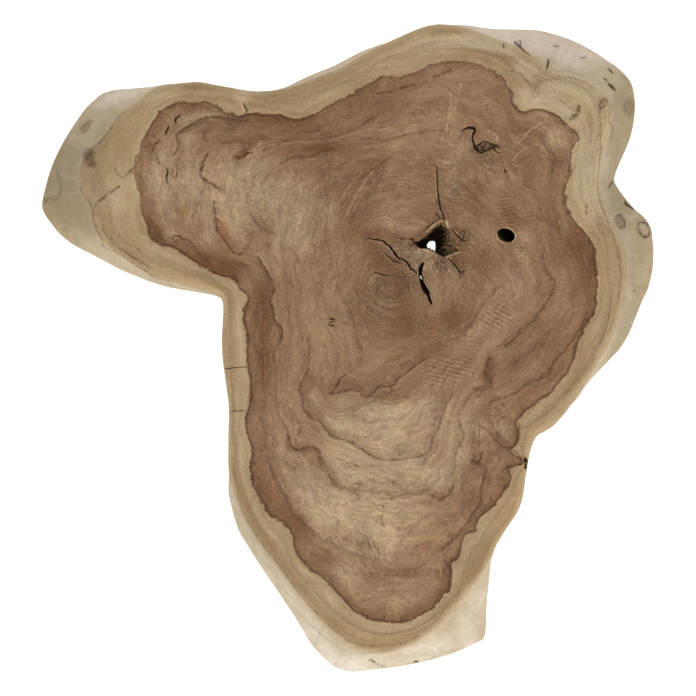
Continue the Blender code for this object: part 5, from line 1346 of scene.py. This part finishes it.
    # rings: bands, streaks and hair lines
    strength = g.ramp(flank_mix, 0, 1, 1.0, 0.55)
    sap_soft = g.ramp(is_heart, 0, 1, 0.42, 1.0)
    bands = g.add(g.add(centred(mid, 0.38), centred(fine, 0.48)), g.add(centred(hair, 1.05), centred(broad, 0.26)))
    c = times(c, g.add(1.0, g.mul(g.mul(bands, strength), sap_soft)))
    c = times(c, g.add(1.0, g.mul(g.add(g.add(centred(mottle, 0.20), centred(speck, 0.30)), centred(tiny, g.ramp(is_heart, 0, 1, 0.95, g.ramp(grey, 0.1, 0.5, 1.30, 1.9)))), g.ramp(flank_mix, 0, 1, 1.0, 0.6))))

    c = times(c, g.add(1.0, g.mul(g.mul(scuffs, g.ramp(flank_mix, 0, 1, 1.0, 0.4)), g.ramp(is_heart, 0, 1, 0.05, 0.19))))

    # hue drifts between tan, red-brown and olive
    drift = g.noise(squash(.028, .028, .012), 1, 3, 0.55)
    c = g.mix(g.mul(g.ramp(drift, 0.52, 0.78), 0.15), c, g.mix(1.0, c, (1.0, 0.86, 0.72, 1), "MULTIPLY"))
    c = g.mix(g.mul(g.ramp(drift, 0.48, 0.22), 0.25), c, g.mix(1.0, c, (0.90, 0.95, 0.84, 1), "MULTIPLY"))

    # late-wood lines that come and go, dark on one side
    line_noise = along(0.011, 15.0, 2.0, 0.5)
    crest = g.math("ABSOLUTE", g.sub(line_noise, 0.5))
    visible = g.mul(g.ramp(g.noise(squash(.020, .020, .01), 1, 2, 0.5), 0.46, 0.62), g.ramp(flow, 0.25, 0.65))
    ringline = g.mul(g.ramp(crest, 0.014, 0.003), visible)
    c = g.mix(g.mul(ringline, g.mul(strength, g.ramp(is_heart, 0, 1, 0.08, 0.50))), c, tint(98, 68, 43))
    terrace = g.mul(g.mul(g.ramp(line_noise, 0.499, 0.506), g.ramp(line_noise, 0.60, 0.50)), g.ramp(visible, 0, 1, 0.35, 1.0))
    c = g.mix(g.mul(terrace, g.mul(strength, g.ramp(is_heart, 0, 1, 0.10, 0.34))), c, tint(110, 78, 50))
    lip = g.mul(g.mul(g.ramp(line_noise, 0.462, 0.496), g.ramp(line_noise, 0.502, 0.497)), g.ramp(visible, 0, 1, 0.3, 1.0))
    c = g.mix(g.mul(lip, g.mul(strength, 0.16)), c, tint(200, 175, 142))
    second = along(0.018, 31.0, 2.0, 0.55)
    c = g.mix(g.mul(g.mul(g.ramp(second, 0.500, 0.508), g.ramp(second, 0.58, 0.51)), g.mul(strength, g.ramp(is_heart, 0, 1, 0.06, 0.22))), c, tint(112, 80, 54))
    c = g.mix(g.mul(g.mul(g.ramp(second, 0.465, 0.494), g.ramp(second, 0.504, 0.498)), g.mul(strength, 0.12)), c, tint(200, 175, 142))
    thin = g.math("ABSOLUTE", g.sub(along(0.022, 42.0, 1.0, 0.5), 0.5))
    thin = g.mul(g.ramp(thin, 0.020, 0.004), g.ramp(g.noise(squash(.035, .035, .02), 1, 2, 0.5), 0.50, 0.66))
    c = g.mix(g.mul(thin, g.mul(strength, g.ramp(is_heart, 0, 1, 0.05, 0.38))), c, tint(104, 74, 46))

    # the dark line round the heartwood, thick and thin by turns
    wide = g.ramp(g.noise(P, 0.055, 2, 0.5), 0.35, 0.65, 0.75, 2.1)
    edge = g.math("EXPONENT", g.mul(g.math("POWER", g.math("DIVIDE", g.sub(hd, 0.8), wide), 2.0), -1.0))
    edge = g.mul(g.mul(edge, edge_line), g.ramp(g.noise(P, 0.09, 2, 0.5), 0.28, 0.55, 0.62, 1.0))
    edge = g.mul(edge, g.sub(1.0, flank_mix))
    c = g.mix(g.mul(edge, 0.92), c, tint(82, 50, 18))

    # lines of the grain
    def drawn(c, off, hw, st, shake, colour):
        d = g.math("ABSOLUTE", g.add(off, shake))
        wide_ = g.mul(hw, g.ramp(g.noise(P, 0.16, 2, 0.5), 0.3, 0.7, 0.55, 1.5))
        body = g.ramp(g.sub(d, wide_), 0.60, -0.30)
        halo = g.mul(g.ramp(d, 4.0, 0.0), 0.16)
        broken = g.ramp(g.noise(P, 0.26, 2, 0.6), 0.30, 0.52, 0.35, 1.0)
        amount = g.math("MAXIMUM", g.mul(body, broken), halo)
        c = g.mix(g.mul(amount, g.math("MAXIMUM", st, 0.0)), c, colour)
        return g.mix(g.mul(g.mul(body, broken), g.math("MAXIMUM", g.mul(st, -1.0), 0.0)), c, tint(198, 172, 138))

    shake = g.add(centred(g.noise(P, 0.20, 3, 0.65), 5.0), centred(g.noise(P, 0.75, 2, 0.5), 3.2))
    c = drawn(c, a_off, a_hw, a_st, shake, tint(86, 54, 22))
    c = drawn(c, b_off, b_hw, b_st, shake, tint(88, 56, 24))

    # stains
    spill = g.noise(P, 0.16, 4, 0.7, distort=0.8)
    st = g.mul(g.ramp(g.add(stain, centred(spill, 1.7)), 0.30, 0.62), 0.62)
    c = g.mix(g.mul(st, g.ramp(stain, 0.02, 0.25)), c, g.mix(flank_mix, tint(114, 90, 64), tint(136, 104, 74)))
    st = g.mul(g.ramp(g.add(stain, centred(spill, 2.6)), 0.85, 1.05), 0.5)
    c = g.mix(g.mul(st, g.ramp(stain, 0.10, 0.35)), c, tint(84, 60, 38))

    # weathered wood: short pale and dark strands, raying out round the pith
    from_pith = g.vec("SUBTRACT", P, ((438 - ORIGIN[0]), (ORIGIN[1] - 243), 90.0))
    away = g.put("ShaderNodeVectorMath", operation="LENGTH")
    g.feed(away.inputs[0], g.vec("MULTIPLY", from_pith, (1, 1, 0)))
    reach = away.outputs["Value"]
    ray = g.put("ShaderNodeVectorMath", operation="NORMALIZE")
    g.feed(ray.inputs[0], g.vec("MULTIPLY", from_pith, (1, 1, 0)))
    rays = g.noise(g.vec("SCALE", ray.outputs[0], 7.0), 1, 3, 0.7, w=g.mul(reach, 0.16))
    strands = g.noise(squash(0.85, 0.34, 0.2), 1, 3, 0.7, distort=1.0)
    near_pith = g.ramp(reach, 34.0, 14.0)
    frayed = g.math("MULTIPLY_ADD", near_pith, g.sub(rays, strands), strands)
    worn = g.mul(g.math("MAXIMUM", g.ramp(grey, 0.15, 0.85), g.mul(near_pith, 0.80)), g.ramp(is_heart, 0, 1, 0.1, 1.0))
    c = g.mix(g.mul(g.mul(worn, g.ramp(frayed, 0.53, 0.63)), 0.60), c, tint(188, 172, 142))
    c = g.mix(g.mul(g.mul(worn, g.ramp(frayed, 0.46, 0.37)), 0.66), c, tint(84, 66, 45))

    # ripples left by the cutter, drawn in the colour as painted light on the crests and painted shade in the grooves
    wave = g.math("SINE", g.mul(g.add(r_across, centred(g.noise(P, 0.10, 2, 0.5), 1.3)), 2 * math.pi))
    patchy = g.ramp(g.noise(P, 0.075, 2, 0.5), 0.36, 0.58, 0.50, 1.0)
    ripple_groove_shade = g.math("POWER", g.math("MULTIPLY_ADD", wave, 0.5, 0.5), 2.4)
    ripple_crest_light = g.math("MULTIPLY_ADD", wave, -0.5, 0.5)
    c = times(c, g.add(1.0, g.mul(g.mul(g.sub(g.mul(ripple_crest_light, 0.13), g.mul(ripple_groove_shade, 0.31)), patchy), g.ramp(r_strong, 0.15, 1.0))))

    # brush-like strokes
    c = g.mix(g.mul(g.mul(g.ramp(brush, 0.51, 0.60), g.ramp(hatch, 0.10, 1.1)), 0.66), c, tint(104, 76, 43))
    c = g.mix(g.mul(g.mul(g.ramp(brush, 0.47, 0.37), g.ramp(hatch, 0.10, 1.1)), 0.45), c, tint(188, 164, 130))

    # light dust in the pores
    dust = g.mul(g.ramp(g.noise(P, 0.85, 1, 0.5), 0.66, 0.74), g.ramp(g.noise(P, 0.035, 2, 0.5), 0.42, 0.62))
    c = g.mix(g.mul(dust, g.mul(strength, g.ramp(g.mul(grey, is_heart), 0.1, 0.5, 0.38, 0.8))), c, tint(200, 180, 148))
    pore = g.mul(g.ramp(g.noise(squash(0.9, 0.9, 0.05), 1, 1, 0.5), 0.36, 0.28), g.ramp(mottle, 0.35, 0.6))
    c = g.mix(g.mul(pore, 0.50), c, tint(92, 66, 42))

    # open cracks: painted shade inside them, a darker band beside them and a painted highlight along one lip
    cd = g.sub(g.math("ABSOLUTE", g.add(c_off, centred(speck, 0.7))), c_hw)
    crack_and_painted_shade = g.mul(g.ramp(cd, 0.35, -0.25), c_st)
    c = g.mix(crack_and_painted_shade, c, tint(42, 27, 15))
    c = g.mix(g.mul(g.mul(g.ramp(cd, 2.6, 0.2), c_st), 0.26), c, tint(88, 64, 42))
    crack_lip_highlight = g.mul(g.mul(g.ramp(cd, 0.3, 0.9), g.ramp(cd, 2.4, 1.0)), g.ramp(c_off, -0.2, 0.6))
    c = g.mix(g.mul(g.mul(crack_lip_highlight, c_st), g.ramp(speck, 0.40, 0.60, 0.1, 0.55)), c, tint(198, 172, 140))

    # inside the holes: ragged fibre, with painted shade that darkens it further down
    fibre = g.noise(squash(0.75, 0.75, 0.10), 1, 3, 0.75, distort=0.4)
    wall_light = g.attribute("wall_light")
    inner = g.mix(g.ramp(fibre, 0.42, 0.58), tint(54, 37, 22), tint(158, 134, 102))
    # painted shade: the walls darken from the mouth to about a third of the way down
    inner = g.mix(g.ramp(hole_, 0.02, 0.30), inner, tint(42, 28, 16))
    inner = g.mix(g.mul(g.ramp(g.add(wall_light, centred(fibre, 3.2)), 0.25, 1.0), g.mul(g.ramp(hole_, 0.75, 0.45), g.ramp(fibre, 0.42, 0.56, 0.05, 1.0))), inner, tint(222, 190, 146))
    inner = g.mix(g.ramp(wall_light, -0.15, -0.7), inner, g.mix(g.ramp(fibre, 0.40, 0.62), tint(84, 47, 34), tint(124, 82, 58)))
    c = g.mix(g.ramp(hole_, 0.005, 0.035), c, inner)
    deepen = g.put("ShaderNodeGamma")
    g.feed(deepen.inputs[0], c)
    deepen.inputs[1].default_value = 1.14
    g.feed(bsdf.inputs["Base Color"], g.mix(1.0, deepen.outputs[0], (1.20, 1.20, 1.20, 1), "MULTIPLY"))

    # underside: straight saw marks
    saw = g.noise(squash(0.01, 0.5, 0.05), 1, 2, 0.6)

    in_hole = g.ramp(hole_, 0.01, 0.1)
    rough_ = g.add(0.50, g.add(centred(speck, 0.22), centred(fine, 0.20)))
    rough_ = g.add(rough_, g.mul(flank_mix, 0.12))
    rough_ = g.add(rough_, g.mul(g.math("MAXIMUM", crack_and_painted_shade, in_hole), 0.3))
    rough_ = g.add(rough_, g.mul(worn, 0.08))
    g.feed(bsdf.inputs["Roughness"], g.math("MINIMUM", g.add(rough_, g.mul(under_, 0.15)), 0.95))
    bsdf.inputs["Specular IOR Level"].default_value = 0.20
    bsdf.inputs["IOR"].default_value = 1.48

    # relief too fine for the mesh
    relief = g.add(g.mul(fine, 0.42), g.add(g.mul(hair, 0.34), g.add(g.mul(speck, 0.34), g.mul(tiny, 0.16))))
    relief = g.sub(relief, g.mul(crack_and_painted_shade, 1.2))
    relief = g.sub(relief, g.mul(g.add(ringline, thin), 0.25))
    relief = g.add(relief, g.mul(g.mul(frayed, worn), 1.3))
    relief = g.add(relief, g.mul(g.mul(saw, under_), 0.8))
    relief = g.sub(relief, g.mul(edge, 0.2))
    bump = g.put("ShaderNodeBump")
    bump.inputs["Strength"].default_value = 0.6
    bump.inputs["Distance"].default_value = 0.0008
    g.feed(bump.inputs["Height"], relief)
    g.feed(bsdf.inputs["Normal"], bump.outputs[0])
    return m


mesh.materials.clear()
mesh.materials.append(wood())
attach(slab, "root")
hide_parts("teak_slice")

# ---------------------------------------------------------------------------------------------
# Floor, light and camera
# ---------------------------------------------------------------------------------------------
bpy.ops.mesh.primitive_plane_add(size=8.0, location=(0, 0, -0.0004))
floor = bpy.context.object
floor.name = "floor"
paper = bpy.data.materials.new("white_sweep")
g = Graph(paper)
out = g.put("ShaderNodeOutputMaterial")
bsdf = g.put("ShaderNodeBsdfPrincipled")
bsdf.inputs["Base Color"].default_value = (0.5, 0.5, 0.5, 1)
bsdf.inputs["Roughness"].default_value = 0.9
bsdf.inputs["Specular IOR Level"].default_value = 0.1
bsdf.inputs["Emission Color"].default_value = (1, 1, 1, 1)
bsdf.inputs["Emission Strength"].default_value = 0.92
g.tree.links.new(bsdf.outputs[0], out.inputs[0])
floor.data.materials.append(paper)


def softbox(name, place, aim, size, power):
    data = bpy.data.lights.new(name, "AREA")
    data.shape, data.size, data.energy = "SQUARE", size, power
    obj = bpy.data.objects.new(name, data)
    obj.location = place
    obj.rotation_euler = (Vector(aim) - Vector(place)).to_track_quat("-Z", "Y").to_euler()
    bpy.context.scene.collection.objects.link(obj)
    return obj


softbox("softbox_top", (0.3, -0.5, 3.6), (0, 0, 0), 2.4, 50)
softbox("softbox_front", (0.5, -2.6, 1.7), (0, 0, 0.05), 1.6, 22)
world = bpy.data.worlds.new("studio")
world.use_nodes = True
world.node_tree.nodes["Background"].inputs[0].default_value = (1, 1, 1, 1)
world.node_tree.nodes["Background"].inputs[1].default_value = 0.43
bpy.context.scene.world = world

camera_data = bpy.data.cameras.new("camera")
camera_data.sensor_width = 36.0
camera_data.lens = 36.0 * VIEW_HEIGHT / 696.0
camera_data.clip_end = 50
camera = bpy.data.objects.new("camera", camera_data)
camera.location = ((AXIS[0] - ORIGIN[0]) / 1000, (ORIGIN[1] - AXIS[1]) / 1000, (THICKNESS + VIEW_HEIGHT) / 1000)
bpy.context.scene.collection.objects.link(camera)
bpy.context.scene.camera = camera

bpy.context.scene.view_settings.view_transform = "Standard"
bpy.context.scene.view_settings.look = "None"
